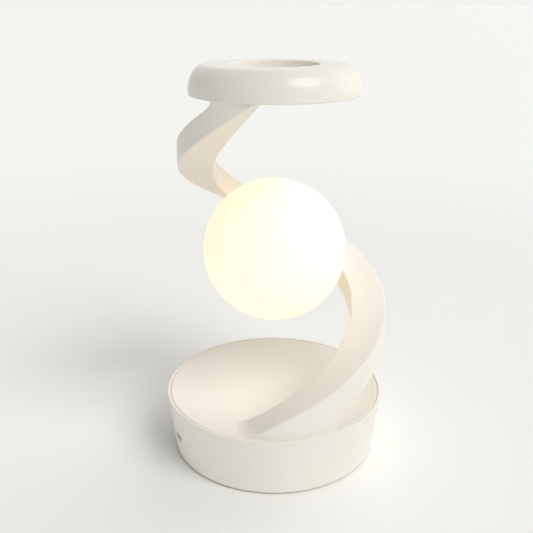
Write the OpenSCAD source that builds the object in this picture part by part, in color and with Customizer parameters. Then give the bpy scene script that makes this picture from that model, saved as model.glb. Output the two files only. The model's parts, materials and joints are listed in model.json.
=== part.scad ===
// Rotating moon lamp: a drum base with a motor driven dish, a spiral arm that rises from the
// dish, a glowing globe held in the middle of the turn and a ring on top.
// Millimetres. +Z is up, the floor is z = 0, and the charging socket faces -X.

/* [Base drum] */
// Diameter over the rim
base_d = 125; // [118:1:150]
// How far the wall leans in from the rim to the floor
base_taper = 4.2; // [2:0.1:6]
// Height of the wall
base_h = 34; // [32:0.2:46]
// Thickness of the wall, seen as the rim lip
shell_t = 1.6; // [1.4:0.1:2.2]
// Rounding of the rim and of the bottom edge
shell_edge = 0.6; // [0.3:0.1:0.7]
// Thickness of the bottom cover
cover_t = 2.2; // [2:0.1:3]
// Height of the rubber feet below the wall
foot_h = 0.8; // [0.6:0.1:3]
// Diameter of a rubber foot
foot_d = 10; // [8:0.5:14]

/* [Turntable] */
// Gap between rim and dish at the top
rim_gap = 0.5; // [0.5:0.1:1.2]
// Depth of the dish
dish_depth = 7; // [5:0.5:8]
// Thickness of the dish
dish_t = 2.2; // [1.8:0.1:2.6]
// Diameter of the boss under the dish
hub_d = 44; // [40:0.5:45]
// Thickness of the boss, from its face to the middle of the dish
hub_t = 4.5; // [4:0.1:5]
// Width of the rib that runs on the glide ring
rib_t = 2; // [1.6:0.1:3]

/* [Spiral arm] */
// Direction in which the arm starts
arm_start = -127.3; // [-150:0.1:-100]
// Turn from the start to where the underside meets the ring
arm_turn = 359; // [340:1:380]
// Height of the top face above the rim at the start
arm_lead_h = 2.6; // [1.5:0.1:4]
// How far the middle of the climb stands above a steady climb
arm_bow = 1.2; // [0:0.1:3]
// Width at the foot
arm_w_foot = 19.3; // [16:0.1:20]
// Width halfway
arm_w_mid = 18.2; // [16:0.1:20]
// Width at the ring
arm_w_top = 20.8; // [18:0.1:22]
// Thickness at the foot
arm_h_foot = 16.6; // [15:0.1:18]
// Thickness at the ring
arm_h_top = 12.5; // [12:0.1:15]
// Rounding of the edges
arm_edge = 1; // [0.5:0.1:1.5]
// Wall of the channel
arm_wall = 2.2; // [1.8:0.1:2.6]
// Thickness of the inner cover strip
strip_t = 2; // [1.5:0.1:2.5]
// Turn after which the arm draws in to the ring
draw_from = 209; // [195:1:225]
// Softness of that change, in degrees of turn
draw_soft = 80; // [50:1:100]
// Turn covered by the solid foot
foot_turn = 46; // [42:1:56]
// Rounding in the notch behind the foot
notch_r = 6; // [3:0.5:8]

/* [Globe] */
// Diameter of the globe
globe_d = 78; // [72:1:84]
// Height of its centre
globe_z = 118.2; // [110:0.1:126]
// Wall of the globe
globe_t = 1.8; // [1.2:0.1:2.5]
// Gap between the globe and the arm
globe_gap = 3; // [2.8:0.1:6]
// Diameter of the neck opening
neck_d = 20; // [18:0.5:24]
// Diameter of the hollow stem
stem_d = 4.4; // [4:0.1:5]
// Bore of the stem
stem_bore = 2.8; // [2.6:0.1:3]
// Size of the stem nut across its corners
nut_d = 7.4; // [6.8:0.1:7.6]

/* [Top ring] */
// Outer diameter
ring_d = 89.5; // [84:0.5:96]
// Diameter of the hole
ring_hole_d = 45.6; // [42:0.2:48]
// Height of the underside above the floor
ring_z = 202.2; // [194:0.2:212]
// Height of the ring
ring_h = 15.1; // [14:0.1:20]
// Wall of the ring
ring_t = 2; // [1.6:0.1:2.4]
// Width of the rounding on the outer top edge
crown_w = 9; // [5:0.5:10]
// Height of that rounding
crown_h = 13.5; // [8:0.5:14]
// Rounding of the hole's upper edge
hole_edge = 2.4; // [1.5:0.1:3]
// Rounding of the bottom edges
ring_edge = 1.2; // [0.6:0.1:1.5]

/* [Drive] */
// Tooth size
gear_module = 0.75; // [0.74:0.01:0.77]
// Teeth of the driven gear
gear_teeth = 64; // [62:1:66]
// Teeth of the motor pinion
pinion_teeth = 16; // [15:1:17]
// Thickness of the driven gear
gear_t = 4; // [3:0.1:4.2]
// Play at the pitch circle, on each gear
backlash = 0.14; // [0.1:0.01:0.2]
// Diameter of the motor can
motor_d = 24; // [20:0.5:25]
// Gap between the motor can and the bottom cover
motor_gap = 1.8; // [1:0.1:3]
// Offset of the output shaft from the middle of the can
shaft_off = 8; // [6:0.1:8.5]
// Diameter of the output shaft
shaft_d = 4; // [3:0.1:4.6]

/* [Bearing and slip ring] */
// Bore of the ball bearing
bearing_bore = 10; // [9.6:0.1:10.4]
// Outer diameter of the ball bearing
bearing_d = 19; // [18.6:0.1:20]
// Width of the ball bearing
bearing_w = 5; // [4.5:0.1:5.2]
// Diameter of a ball
ball_d = 2.4; // [2.2:0.1:2.6]
// Number of balls
ball_count = 10; // [8:1:11]
// Bore of the hollow spindle
spindle_bore = 6; // [5.6:0.1:6.6]
// Diameter of the slip ring
slip_d = 12; // [10:0.5:13]

/* [Charging socket and board] */
// Height of the socket's centre above the floor
socket_z = 15.1; // [14.2:0.1:16.2]
// Width of the socket
socket_w = 9.2; // [9:0.1:9.6]
// Height of the socket
socket_h = 3.4; // [3.2:0.1:3.6]
// Depth of the socket
socket_l = 7.4; // [7:0.1:8]
// Direction of the indicator, measured from the socket
dot_turn = 10.6; // [9.5:0.1:13]
// Diameter of the indicator
dot_d = 1.4; // [1:0.1:3]
// Length of the control board
board_l = 33; // [31:0.5:34]
// Width of the control board
board_w = 32; // [30:0.5:33]
// Thickness of the control board
board_t = 1.6; // [1.2:0.1:2]
// Height of the ballast weights
ballast_h = 9; // [5:0.5:10]

/* [Hidden] */
$fn = 96;
e = 0.01;

// Clearances: between fixed pieces, running fits, and around turning pieces
fit = 0.15;
run = 0.05;
free = 0.3;

// Screws: shank, head width, head height, and the hole around a shank
screw_d = 2.6;
head_d = 4.4;
head_h = 1.5;
screw_play = 0.1;
small_d = 1.6;
small_head_d = 2.8;
small_head_h = 1;

// Levels of the base
wall_z = foot_h;
rim_z = wall_z + base_h;
cover_z = wall_z + 0.3;
cover_top = cover_z + cover_t;
rim_r = base_d / 2;
function wall_r(z) = rim_r - base_taper * (rim_z - z) / base_h;
cover_r = wall_r(wall_z) - shell_t - free;

// Dish: a shallow cap of a sphere
dish_r = rim_r - shell_t - rim_gap;
dish_edge_z = rim_z - 0.5;
dish_mid_z = dish_edge_z - dish_depth;
bowl_r = (dish_r * dish_r + dish_depth * dish_depth) / (2 * dish_depth);
function dish_z(r) = dish_mid_z + bowl_r - sqrt(bowl_r * bowl_r - r * r);

// Stack under the dish, from the boss down
hub_z = dish_mid_z - hub_t;
gear_z = hub_z - gear_t;
collar_t = 1.5;
bearing_top = gear_z - collar_t;
bearing_z = bearing_top - bearing_w;
tower_top = bearing_top + 0.2;
clip_t = 0.6;
spindle_low = bearing_z - clip_t - 0.6;
slip_top = spindle_low - 0.4;

// Seat of the arm's foot in the dish
seat_z = dish_mid_z + 2;
pad_t = 2.5;
pad_z = seat_z - pad_t;
rib_z = pad_z - 1.5;
glide_t = 1.2;
shelf_t = 2;
shelf_z = rib_z - free - glide_t;
rib_r = dish_r - 7;
shelf_r = dish_r - 11.9;
foot_ro = dish_r - 0.9;
foot_ri = foot_ro - arm_w_foot - 0.1;

// Screws of the bottom cover
post_r = cover_r - 4.1;
post_turn = 45;
feet_r = post_r - 6.5;

// Gears
gear_r = gear_module * gear_teeth / 2;
pinion_r = gear_module * pinion_teeth / 2;
axle_x = gear_r + pinion_r + 0.05;
motor_x = axle_x + shaft_off;
motor_top = gear_z - 2;
motor_low = cover_top + motor_gap;
motor_h = motor_top - motor_low;
ear_t = 0.8;
ear_y = motor_d / 2 + 4;
pinion_low = gear_z - 0.4;
pinion_top = hub_z + 0.4;

// Bearing
race_in = bearing_bore / 2 + 1.4;
race_out = bearing_d / 2 - 1.4;
ball_r = (race_in + race_out) / 2;
ball_z = bearing_z + bearing_w / 2;
tower_r = bearing_d / 2 + 2;

// Control board and charging socket
board_top = socket_z - socket_h / 2;
board_low = board_top - board_t;
board_x = -(wall_r(board_low) - shell_t - free - 2.4);
socket_x = -(wall_r(socket_z) - 0.5);
socket_wall = 0.3;
board_hole_x = [board_x + 9, board_x + board_l - 4];
board_hole_y = board_w / 2 - 3.5;
dot_y = -wall_r(socket_z) * sin(dot_turn);

// Ballast between motor and board
ballast_ri = tower_r + 8.5;
ballast_ro = post_r - 4;
ballast_turn = 60;

// Ring
ring_top = ring_z + ring_h;
crown_up = min(crown_h, ring_h - ring_edge - 0.1);
ring_r = ring_d / 2;
hole_r = ring_hole_d / 2;
plate_t = 2;
boss_r = ring_r - ring_t - 5.6;
ring_turn = -30;
touch_t = 0.4;
touch_z = ring_top - ring_t - touch_t;

// Arm: u is the turn from its start in degrees
arm_z = rim_z + arm_lead_h;
arm_rise = ring_z + arm_h_top - arm_z;
arm_tip_turn = 3;
arm_end = arm_turn - arm_tip_turn;
channel_h = 9.5;
roof_extra = 3.8;
roof_from = 312;
foot_blend = 110;
flare_h = 4.5;
flare_turn = 9;
function arm_h(u) = arm_h_foot + (arm_h_top - arm_h_foot) * u / arm_turn;
function arm_w(u) =
    let (x = u / arm_turn)
    arm_w_foot * (1 - x) * (1 - 2 * x) + arm_w_mid * 4 * x * (1 - x) + arm_w_top * x * (2 * x - 1);
function climb(u) =
    let (x = u / arm_turn)
    arm_z + arm_rise * x + 4 * arm_bow * x * (1 - x);
// Turn at which rate * x - 4 * bow * x * x equals a height, as a share of the whole turn
function turn_at(rate, height) =
    arm_turn * 2 * height / (rate + sqrt(rate * rate - 16 * arm_bow * height));
globe_u = turn_at(
    arm_rise + 4 * arm_bow - (arm_h_top - arm_h_foot) / 2,
    globe_z - arm_z + arm_h_foot / 2
);
meet_u = turn_at(arm_rise + 4 * arm_bow, ring_z - arm_z);

// Radius of the outer face: full round the globe, drawn in to the ring and to the foot
top_ro = ring_r - 2.5;
function soft(d) = (d + sqrt(d * d + draw_soft * draw_soft)) / 2;
draw_share = soft(globe_u - draw_from) / soft(arm_turn - draw_from);
arm_at_globe = globe_d / 2 + globe_gap + arm_w(globe_u);
belly_r = (arm_at_globe - top_ro * draw_share) / (1 - draw_share);
draw_rate = (belly_r - top_ro) / soft(arm_turn - draw_from);
foot_in = belly_r - draw_rate * soft(-draw_from) - foot_ro;
function arm_ro(u) =
    belly_r - draw_rate * soft(u - draw_from)
    - foot_in * pow(max(0, 1 - u / foot_blend), 1.2);
function arm_ri(u) = arm_ro(u) - arm_w(u);

// Underside, with the notch behind the foot as an arc between its end wall and the underside
arm_slope = arm_rise / (arm_turn * (foot_ro - arm_w_foot / 2) * PI / 180);
notch_mm = (foot_ro - arm_w_foot / 2) * PI / 180;
notch_run = notch_r * (1 - arm_slope / sqrt(1 + arm_slope * arm_slope));
notch_mid = climb(foot_turn) - arm_h(foot_turn) + arm_slope * notch_r
    - notch_r * sqrt(1 + arm_slope * arm_slope);
notch_steps = 5;
notch_step_turn = 0.3;
function in_foot(u) = u < foot_turn - notch_step_turn / 2;
function arm_low(u) =
    let (s = (u - foot_turn) * notch_mm)
    in_foot(u) ? seat_z
    : s < notch_run ? notch_mid + sqrt(max(0, notch_r * notch_r - pow(s - notch_r, 2)))
    : climb(u) - arm_h(u);
function arm_top(u) = min(climb(u), ring_z);
// Top face of the skin: it flares up into the ring
function flare(u) = flare_h * pow(max(0, min(1, (u - meet_u) / flare_turn + 1)), 2);
function skin_top(u) = min(climb(u) + flare(u), ring_z);
function smooth(x) =
    let (k = max(0, min(1, x)))
    k * k * (3 - 2 * k);

// Wall above the channel, thicker under the ring for the screws
function arm_roof(u, h) = min(arm_wall + roof_extra * smooth((u - roof_from) / 14), 0.55 * h);
function channel_top(u) = arm_top(u) - arm_roof(u, arm_top(u) - arm_low(u));
function channel_size(u) =
    let (h = arm_top(u) - arm_low(u))
    min(channel_h, h - arm_roof(u, h) - min(arm_wall, 0.3 * h));
function channel_low(u) = channel_top(u) - channel_size(u);
// Radius of the inner face at a height: upright, but slanted within the foot
function inner_face(u, z) =
    let (low = arm_low(u))
    in_foot(u) ? foot_ri + (arm_ri(u) - foot_ri) * (z - low) / (arm_top(u) - low) : arm_ri(u);
function at(r, u, z) = [r * cos(arm_start + u), r * sin(arm_start + u), z];
function arc(r, z, c, from) = [
    for (k = [0:2]) [r + c * cos(from + 45 * k), z + c * sin(from + 45 * k)]
];
function channel_section(u) =
    let (
        zt = skin_top(u),
        zb = arm_low(u),
        c = min(arm_edge, 0.28 * (zt - zb)),
        ct = zt < ring_z ? c : 0.1,
        ro = arm_ro(u),
        ri = arm_ri(u),
        bo = in_foot(u) ? foot_ro : ro,
        bi = in_foot(u) ? foot_ri : ri,
        rt = channel_top(u),
        rb = channel_low(u),
        rc = ro - arm_wall
    )
    concat(
        [[inner_face(u, rb), rb]],
        arc(bi + c, zb + c, c, 180),
        arc(bo - c, zb + c, c, 270),
        arc(ro - ct, zt - ct, ct, 0),
        arc(ri + ct, zt - ct, ct, 90),
        [[inner_face(u, rt), rt], [rc, rt], [rc, rb]]
    );
channel_caps = [
    [15, 0, 1, 2, 3, 4, 5, 6],
    [15, 6, 7, 14],
    [14, 7, 8, 9, 10, 11, 12, 13]
];
function strip_section(u) =
    let (
        low = channel_low(u) + fit,
        high = channel_top(u) - fit,
        a = inner_face(u, low),
        b = inner_face(u, high)
    )
    [[a, low], [a + strip_t, low], [b + strip_t, high], [b, high]];
arm_step = 4;
arm_turns = concat(
    [for (u = [0:arm_step:foot_turn - 2]) u],
    [foot_turn - notch_step_turn],
    [for (k = [0:notch_steps]) foot_turn + notch_run / notch_mm * pow(k / notch_steps, 2)],
    [for (u = [foot_turn + notch_run / notch_mm + 2:arm_step:meet_u - flare_turn - 1]) u],
    [for (k = [0:5]) meet_u - flare_turn * (1 - k / 6)],
    [meet_u],
    [for (u = [meet_u + 2:arm_step:arm_end - 1]) u],
    [arm_end]
);
strip_first = 1;
strip_last = meet_u + 5;
strip_turns = concat(
    [strip_first],
    [for (u = arm_turns) if (u > strip_first + 1 && u < strip_last - 1) u],
    [strip_last]
);

// Toe: the end piece that rounds the end of the foot down into the dish
toe_r = 10;
toe_gap = 0.15;
toe_steps = 10;
function toe_run(r) =
    let (h = min(arm_z - dish_z(r), toe_r))
    sqrt(2 * toe_r * h - h * h);
toe_turn = toe_run(foot_ri) / foot_ri * 180 / PI;
function toe_z(r, u) =
    let (s = max(0, toe_run(r) + u * r * PI / 180))
    dish_z(r) + toe_r - sqrt(toe_r * toe_r - s * s);
function toe_section(u) =
    let (
        over = toe_z(foot_ro, u) - dish_z(foot_ro),
        c = max(0.03, min(arm_edge, 0.4 * over)),
        high = [for (k = [0:4]) foot_ro - c - (foot_ro - foot_ri - 2 * c) * k / 4]
    )
    concat(
        [[foot_ri, seat_z], [foot_ro, seat_z]],
        [[foot_ro, toe_z(foot_ro, u) - c], [foot_ro - 0.3 * c, toe_z(foot_ro, u) - 0.3 * c]],
        [for (r = high) [r, toe_z(r, u)]],
        [[foot_ri + 0.3 * c, toe_z(foot_ri, u) - 0.3 * c], [foot_ri, toe_z(foot_ri, u) - c]]
    );

// Places of holes and screws in the arm
wire_u = 6;
wire_r = foot_ro - arm_w_foot / 2;
wire_d = 3;
foot_screw_u = [22, 40];
foot_screw_r = foot_ri + 6.6;
foot_bite = 5.5;
top_wire_u = meet_u + 2.6;
top_screw_u = meet_u + 6.6;
top_screw_reach = 4.8;
top_mid_r = (arm_ro(top_screw_u) + arm_ri(top_screw_u)) / 2;

// Globe fittings, measured from the globe's centre along the stem
globe_r = globe_d / 2;
neck_r = neck_d / 2;
flange_x = globe_r - 1;
flange_t = 1.2;
spacer_r = 6.5;
cap_t = 3.6;
cap_x = flange_x - cap_t;
spreader_t = 1.8;
chip_board_t = 1.2;
spreader_x = cap_x - spreader_t;
light_x = spreader_x - chip_board_t;
face_r = globe_r + globe_gap;
spacer_end = sqrt(face_r * face_r - spacer_r * spacer_r) - 0.7;
stem_x = cap_x + 1.4;
nut_x = face_r + strip_t + 0.3;
nut_t = 2.4;
stem_end = nut_x + nut_t + 1;

// Light chips and the screws of the light board
light_screw_r = 5.4;
chip_r = 6.4;
chip_turns = [-30, 0, 30, 150, 180, 210];
chip = 2.6;

// Screws of the driven gear, clear of the wire slot
gear_screw_turns = [60, 180, 300];
gear_screw_r = 15;
gear_bite = 3;

// Screws of the ring's bottom plate
ring_screw_turns = [for (k = [0:3]) ring_turn + 90 * k];

// Steps of the revolved curves
dish_steps = 24;
crown_steps = 9;

// Wires
lead_step = 8;
lead_r = 0.5;
lead_sides = 8;
lead_gap = 0.62;
slot_h = 2.6;
slot_w = 4;
lead_z = hub_z + 0.6 * slot_h;
lead_in = stem_end + 2.2;

// Helpers
function flat(v) = [for (a = v) for (b = a) b];
module swept(sections, turns, caps) {
    n = len(sections[0]);
    m = len(sections);
    points = flat([for (j = [0:m - 1]) [for (p = sections[j]) at(p[0], turns[j], p[1])]]);
    sides = flat([for (j = [0:m - 2]) flat([for (i = [0:n - 1])
        let (
            a = j * n + i,
            b = j * n + (i + 1) % n
        )
        [[a, b, b + n], [a, b + n, a + n]]
    ])]);
    near = [for (c = caps) [for (k = [len(c) - 1:-1:0]) c[k]]];
    far = [for (c = caps) [for (k = c) k + (m - 1) * n]];
    polyhedron(points, concat(sides, near, far), convexity = 10);
}
function unit(v) = v / norm(v);
function along(p, i) = unit(p[min(i + 1, len(p) - 1)] - p[max(i - 1, 0)]);
function square_to(v, t) = unit(v - (v * t) * t);
module lead(path, start_normal, r = lead_r) {
    m = len(path);
    n = lead_sides;
    normals = [
        for (i = 0, v = square_to(start_normal, along(path, 0)); i < m;
            i = i + 1, v = square_to(v, along(path, min(i, m - 1)))) v
    ];
    points = flat([for (i = [0:m - 1])
        let (
            t = along(path, i),
            u = normals[i],
            w = cross(t, u)
        )
        [for (k = [0:n - 1]) path[i] + r * (cos(360 * k / n) * u + sin(360 * k / n) * w)]
    ]);
    sides = flat([for (i = [0:m - 2]) flat([for (k = [0:n - 1])
        let (
            a = i * n + k,
            b = i * n + (k + 1) % n
        )
        [[b, a, a + n], [b, a + n, b + n]]
    ])]);
    near = [[for (k = [0:n - 1]) k]];
    far = [[for (k = [n - 1:-1:0]) (m - 1) * n + k]];
    polyhedron(points, concat(sides, near, far), convexity = 10);
}
// Quarter bend between two straight runs, as points
function bend(corner, from, to, r, steps = 3) = [
    for (k = [0:steps])
    let (a = 90 * k / steps)
    corner - from * r * (1 - sin(a)) + to * r * (1 - cos(a))
];
module screw(d, hd, hh, length) {
    difference() {
        union() {
            cylinder(d = hd, h = hh);
            translate([0, 0, -length])
                cylinder(d = d, h = length + e);
        }
        for (a = [0, 90])
            rotate([0, 0, a])
                translate([-hd * 0.32, -0.3, hh * 0.45])
                    cube([hd * 0.64, 0.6, hh]);
    }
}
module around(turns, r) {
    for (a = turns)
        rotate([0, 0, a])
            translate([r, 0, 0])
                children();
}
module place(u, r, z) {
    rotate([0, 0, arm_start + u])
        translate([r, 0, z])
            children();
}
module at_globe() {
    translate([0, 0, globe_z])
        rotate([0, 0, arm_start + globe_u])
            rotate([0, 90, 0])
                children();
}
function involute(base, r) = sqrt(pow(r / base, 2) - 1) * 180 / PI - acos(base / r);
module toothed(teeth) {
    pitch = gear_module * teeth / 2;
    base = pitch * cos(20);
    tip = pitch + 0.8 * gear_module;
    root = pitch - 1.15 * gear_module;
    half = 90 / teeth - backlash / 2 / pitch * 180 / PI + involute(base, pitch);
    low = max(base, root) + e;
    flank = [for (k = [0:4]) low + (tip - low) * k / 4];
    polygon(flat([for (t = [0:teeth - 1])
        let (mid = 360 * t / teeth)
        concat(
            [root * [cos(mid - half - 0.2), sin(mid - half - 0.2)]],
            [for (r = flank)
                let (a = mid - half + involute(base, r))
                r * [cos(a), sin(a)]
            ],
            [for (k = [4:-1:0])
                let (
                    r = flank[k],
                    a = mid + half - involute(base, r)
                )
                r * [cos(a), sin(a)]
            ],
            [root * [cos(mid + half + 0.2), sin(mid + half + 0.2)]]
        )
    ]));
}

// Base drum: tapered wall, rim lip, shelf for the glide ring and posts for the cover screws
module base_shell() {
    s = shell_edge;
    color("WhiteSmoke")
    difference() {
        union() {
            rotate_extrude()
                polygon([
                    [wall_r(wall_z) - shell_t, wall_z],
                    [wall_r(wall_z) - s, wall_z],
                    [wall_r(wall_z + s) - 0.3 * s, wall_z + 0.3 * s],
                    [wall_r(wall_z + s), wall_z + s],
                    [rim_r, rim_z - s],
                    [rim_r - 0.3 * s, rim_z - 0.3 * s],
                    [rim_r - s, rim_z],
                    [rim_r - shell_t + 0.4 * s, rim_z],
                    [rim_r - shell_t, rim_z - 0.4 * s],
                    [wall_r(shelf_z) - shell_t, shelf_z],
                    [shelf_r, shelf_z],
                    [shelf_r, shelf_z - shelf_t],
                    [wall_r(shelf_z - shelf_t) - shell_t, shelf_z - shelf_t]
                ]);
            around([for (k = [0:3]) post_turn + 90 * k], post_r)
                translate([0, 0, cover_top])
                    cylinder(d = screw_d + 3.8, h = shelf_z - shelf_t / 2 - cover_top);
        }
        around([for (k = [0:3]) post_turn + 90 * k], post_r)
            translate([0, 0, cover_top - 1])
                cylinder(d = screw_d + screw_play, h = 9);
        translate([socket_x, 0, socket_z])
            socket_block(fit, 12);
        translate([0, dot_y, socket_z])
            rotate([0, -90, 0])
                cylinder(d = dot_d + 2 * fit, h = base_d);
    }
}
// Rounded slot shape of the socket, along X, grown by a margin
module socket_block(grow, length) {
    r = socket_h / 2 + grow;
    for (s = [-1, 1])
        translate([-length / 2, s * (socket_w / 2 - socket_h / 2), 0])
            rotate([0, 90, 0])
                cylinder(r = r, h = length);
    translate([-length / 2, -(socket_w - socket_h) / 2, -r])
        cube([length, socket_w - socket_h, 2 * r]);
}
// Bottom cover with the bearing tower, the board posts and the motor posts
module bottom_cover() {
    color("Gainsboro")
    difference() {
        union() {
            translate([0, 0, cover_z])
                cylinder(r = cover_r, h = cover_t);
            translate([0, 0, cover_z])
                cylinder(r = tower_r, h = tower_top - cover_z);
            for (x = board_hole_x, y = [-1, 1])
                translate([x, y * board_hole_y, cover_z])
                    cylinder(d = 4.6, h = board_low - cover_z);
            for (y = [-1, 1])
                translate([motor_x, y * ear_y, cover_z])
                    cylinder(d = 6, h = motor_top - ear_t - cover_z);
        }
        translate([0, 0, cover_top])
            cylinder(d = bearing_d - 4.4, h = tower_top);
        translate([0, 0, bearing_z])
            cylinder(d = bearing_d + 0.04, h = tower_top);
        translate([-tower_r - 1, -slot_w / 2, cover_top + 0.6])
            cube([tower_r, slot_w, 5]);
        around([for (k = [0:3]) post_turn + 90 * k], post_r) {
            translate([0, 0, cover_z - 1])
                cylinder(d = screw_d + screw_play, h = cover_t + 2);
            translate([0, 0, cover_z - 1])
                cylinder(d = head_d + 2 * fit, h = 1 + head_h - 0.4);
        }
        around([for (k = [0:3]) 90 * k], feet_r)
            translate([0, 0, cover_z - 1])
                cylinder(d = foot_d + 2 * fit, h = 1.8);
        for (x = board_hole_x, y = [-1, 1])
            translate([x, y * board_hole_y, board_low - 5])
                cylinder(d = small_d + screw_play, h = 6);
        for (y = [-1, 1])
            translate([motor_x, y * ear_y, motor_top - ear_t - 6])
                cylinder(d = screw_d + screw_play, h = 7);
    }
}
module rubber_feet() {
    color("DimGray")
    around([for (k = [0:3]) 90 * k], feet_r) {
        cylinder(d1 = foot_d - 1, d2 = foot_d, h = 0.5);
        translate([0, 0, 0.5 - e])
            cylinder(d = foot_d, h = cover_z + 0.8 - 0.5 + e);
    }
}
module cover_screws() {
    color("Silver")
    around([for (k = [0:3]) post_turn + 90 * k], post_r)
        translate([0, 0, cover_z + head_h - 0.4])
            mirror([0, 0, 1])
                screw(screw_d, head_d, head_h - 0.2, 8);
}
// Two arc shaped weights on the cover, between motor and board
module ballast_weights() {
    color("SlateGray")
    for (a = [90, 270])
        rotate([0, 0, a - ballast_turn / 2])
            translate([0, 0, cover_top])
                rotate_extrude(angle = ballast_turn)
                    translate([ballast_ri, 0])
                        square([ballast_ro - ballast_ri, ballast_h]);
}

// Charging socket on the control board
module usb_socket() {
    color("DarkGray")
    difference() {
        translate([socket_x + socket_l / 2, 0, socket_z])
            socket_block(0, socket_l);
        translate([socket_x + socket_l / 2 - 1, 0, socket_z])
            socket_block(-socket_wall, socket_l);
    }
}
module usb_tongue() {
    color("Black")
    translate([socket_x + 0.8, -socket_w * 0.36, socket_z - 0.35])
        cube([socket_l - 1.8, socket_w * 0.72, 0.7]);
}
module charge_indicator() {
    tip = -sqrt(pow(wall_r(socket_z), 2) - dot_y * dot_y) - 0.1;
    color("LightBlue")
    translate([tip, dot_y, socket_z])
        rotate([0, 90, 0])
            cylinder(d = dot_d, h = board_x + 1.5 - tip);
}
module control_board() {
    color("DarkGreen")
    difference() {
        translate([board_x, -board_w / 2, board_low])
            cube([board_l, board_w, board_t]);
        for (x = board_hole_x, y = [-1, 1])
            translate([x, y * board_hole_y, board_low - 1])
                cylinder(d = small_d + screw_play, h = board_t + 2);
    }
}
// Indicator light, controller chip, capacitor and two plug sockets
module board_parts() {
    color("DimGray")
    translate([0, 0, board_top]) {
        translate([board_x + 1.6, dot_y - 1, 0])
            cube([2.4, 2, socket_z + 0.6 - board_top]);
        translate([board_x + 13, -3, 0])
            cube([6, 6, 1]);
        translate([board_x + 17, 8, 0])
            cylinder(d = 6, h = 7);
        for (y = [-6, 6])
            translate([board_x + board_l - 5.2, y - 2.5, 0])
                cube([5, 5, 3]);
    }
}
module board_screws() {
    color("Silver")
    for (x = board_hole_x, y = [-1, 1])
        translate([x, y * board_hole_y, board_top])
            screw(small_d, small_head_d, small_head_h, 5.6);
}

// Geared motor with two ears and an offset output shaft
module gear_motor() {
    color("LightSteelBlue")
    difference() {
        union() {
            translate([motor_x, 0, motor_low])
                cylinder(d = motor_d, h = motor_h);
            translate([axle_x, 0, motor_top - e])
                cylinder(d = shaft_d + 4, h = 0.8 + e);
            translate([motor_x - 3, -ear_y, motor_top - ear_t])
                cube([6, 2 * ear_y, ear_t]);
            for (y = [-1, 1])
                translate([motor_x, y * ear_y, motor_top - ear_t])
                    cylinder(d = 6, h = ear_t);
        }
        for (y = [-1, 1])
            translate([motor_x, y * ear_y, motor_top - 3])
                cylinder(d = screw_d + screw_play, h = 6);
        translate([axle_x, 0, motor_top - 5])
            cylinder(d = shaft_d + 2 * run, h = 8);
    }
}
module motor_screws() {
    color("Silver")
    for (y = [-1, 1])
        translate([motor_x, y * ear_y, motor_top])
            screw(screw_d, head_d, head_h, 6);
}
module motor_shaft() {
    color("Silver")
    translate([axle_x, 0, motor_top - 5 + run])
        cylinder(d = shaft_d, h = pinion_top - motor_top + 5 - run);
}
module drive_pinion() {
    color("Ivory")
    translate([axle_x, 0, pinion_low])
        difference() {
            linear_extrude(pinion_top - pinion_low)
                rotate([0, 0, pinion_teeth % 2 == 0 ? 180 / pinion_teeth : 0])
                    toothed(pinion_teeth);
            translate([0, 0, -1])
                cylinder(d = shaft_d + 0.02, h = pinion_top);
        }
}

// Ball bearing: grooved rings and balls on their own circle
module bearing_ring(inner, outer) {
    translate([0, 0, ball_z])
        rotate_extrude()
            difference() {
                translate([inner, -bearing_w / 2])
                    square([outer - inner, bearing_w]);
                translate([ball_r, 0])
                    circle(d = ball_d + 2 * run);
            }
}
module bearing_outer_ring() {
    color("LightGray")
    bearing_ring(race_out, bearing_d / 2);
}
module bearing_inner_ring() {
    color("LightGray")
    bearing_ring(bearing_bore / 2, race_in);
}
module bearing_balls() {
    color("White")
    around([for (k = [0:ball_count - 1]) 360 * k / ball_count], ball_r)
        translate([0, 0, ball_z])
            sphere(d = ball_d);
}
module glide_ring() {
    color("Ivory")
    translate([0, 0, shelf_z])
        rotate_extrude()
            translate([rib_r - 0.8, 0])
                square([rib_t + 1.6, glide_t]);
}

// Slip ring: a fixed body with a bore, and a rotor that turns with the spindle
module slip_ring_body() {
    color("DimGray")
    difference() {
        translate([0, 0, cover_top])
            cylinder(d = slip_d, h = slip_top - cover_top);
        translate([0, 0, cover_top + 1.2])
            cylinder(d = 4 + 2 * free, h = slip_top);
    }
}
module slip_ring_rotor() {
    color("Goldenrod")
    difference() {
        union() {
            translate([0, 0, cover_top + 1.2 + free])
                cylinder(d = 4, h = slip_top - cover_top);
            translate([0, 0, slip_top + free])
                cylinder(d = spindle_bore - 0.04, h = 3);
        }
        translate([0, 0, slip_top - 1])
            cylinder(d = 2 * lead_r + 0.4, h = 6);
    }
}
module slip_ring_lead() {
    z = cover_top + 2.4;
    x = board_x + board_l;
    color("Firebrick")
    lead([
        [x + 0.05, 6, board_top + 1.2],
        [x + 3, 6, board_top + 1.2],
        [x + 5, 5, board_top],
        [x + 6, 3.6, board_top - 3],
        [-tower_r - 3.4, 1, z + 1],
        [-tower_r - 2, 0.3, z],
        [-tower_r, 0, z],
        [-slip_d / 2 - 0.05, 0, z]
    ], [0, 0, 1]);
}
module motor_lead() {
    z = cover_top + 2;
    x = board_x + board_l;
    r = tower_r + 4.2;
    color("RoyalBlue")
    lead(concat(
        [
            [x + 0.05, -6, board_top + 1.2],
            [x + 2, -6, board_top + 1.2],
            [x + 4, -7, board_top],
            [-tower_r - 1.6, -9, z + 4]
        ],
        [for (a = [222:16:318]) [r * cos(a), r * sin(a), z + 2 * max(0, (238 - a) / 16)]],
        [
            [motor_x - motor_d / 2 - 4, -5, motor_low + 1],
            [motor_x - motor_d / 2 - 2, -1.4, motor_low + 2],
            [motor_x - motor_d / 2 - 1, -0.6, motor_low + 2],
            [motor_x - motor_d / 2 - 0.05, -0.6, motor_low + 2]
        ]
    ), [0, 0, 1]);
}

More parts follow.
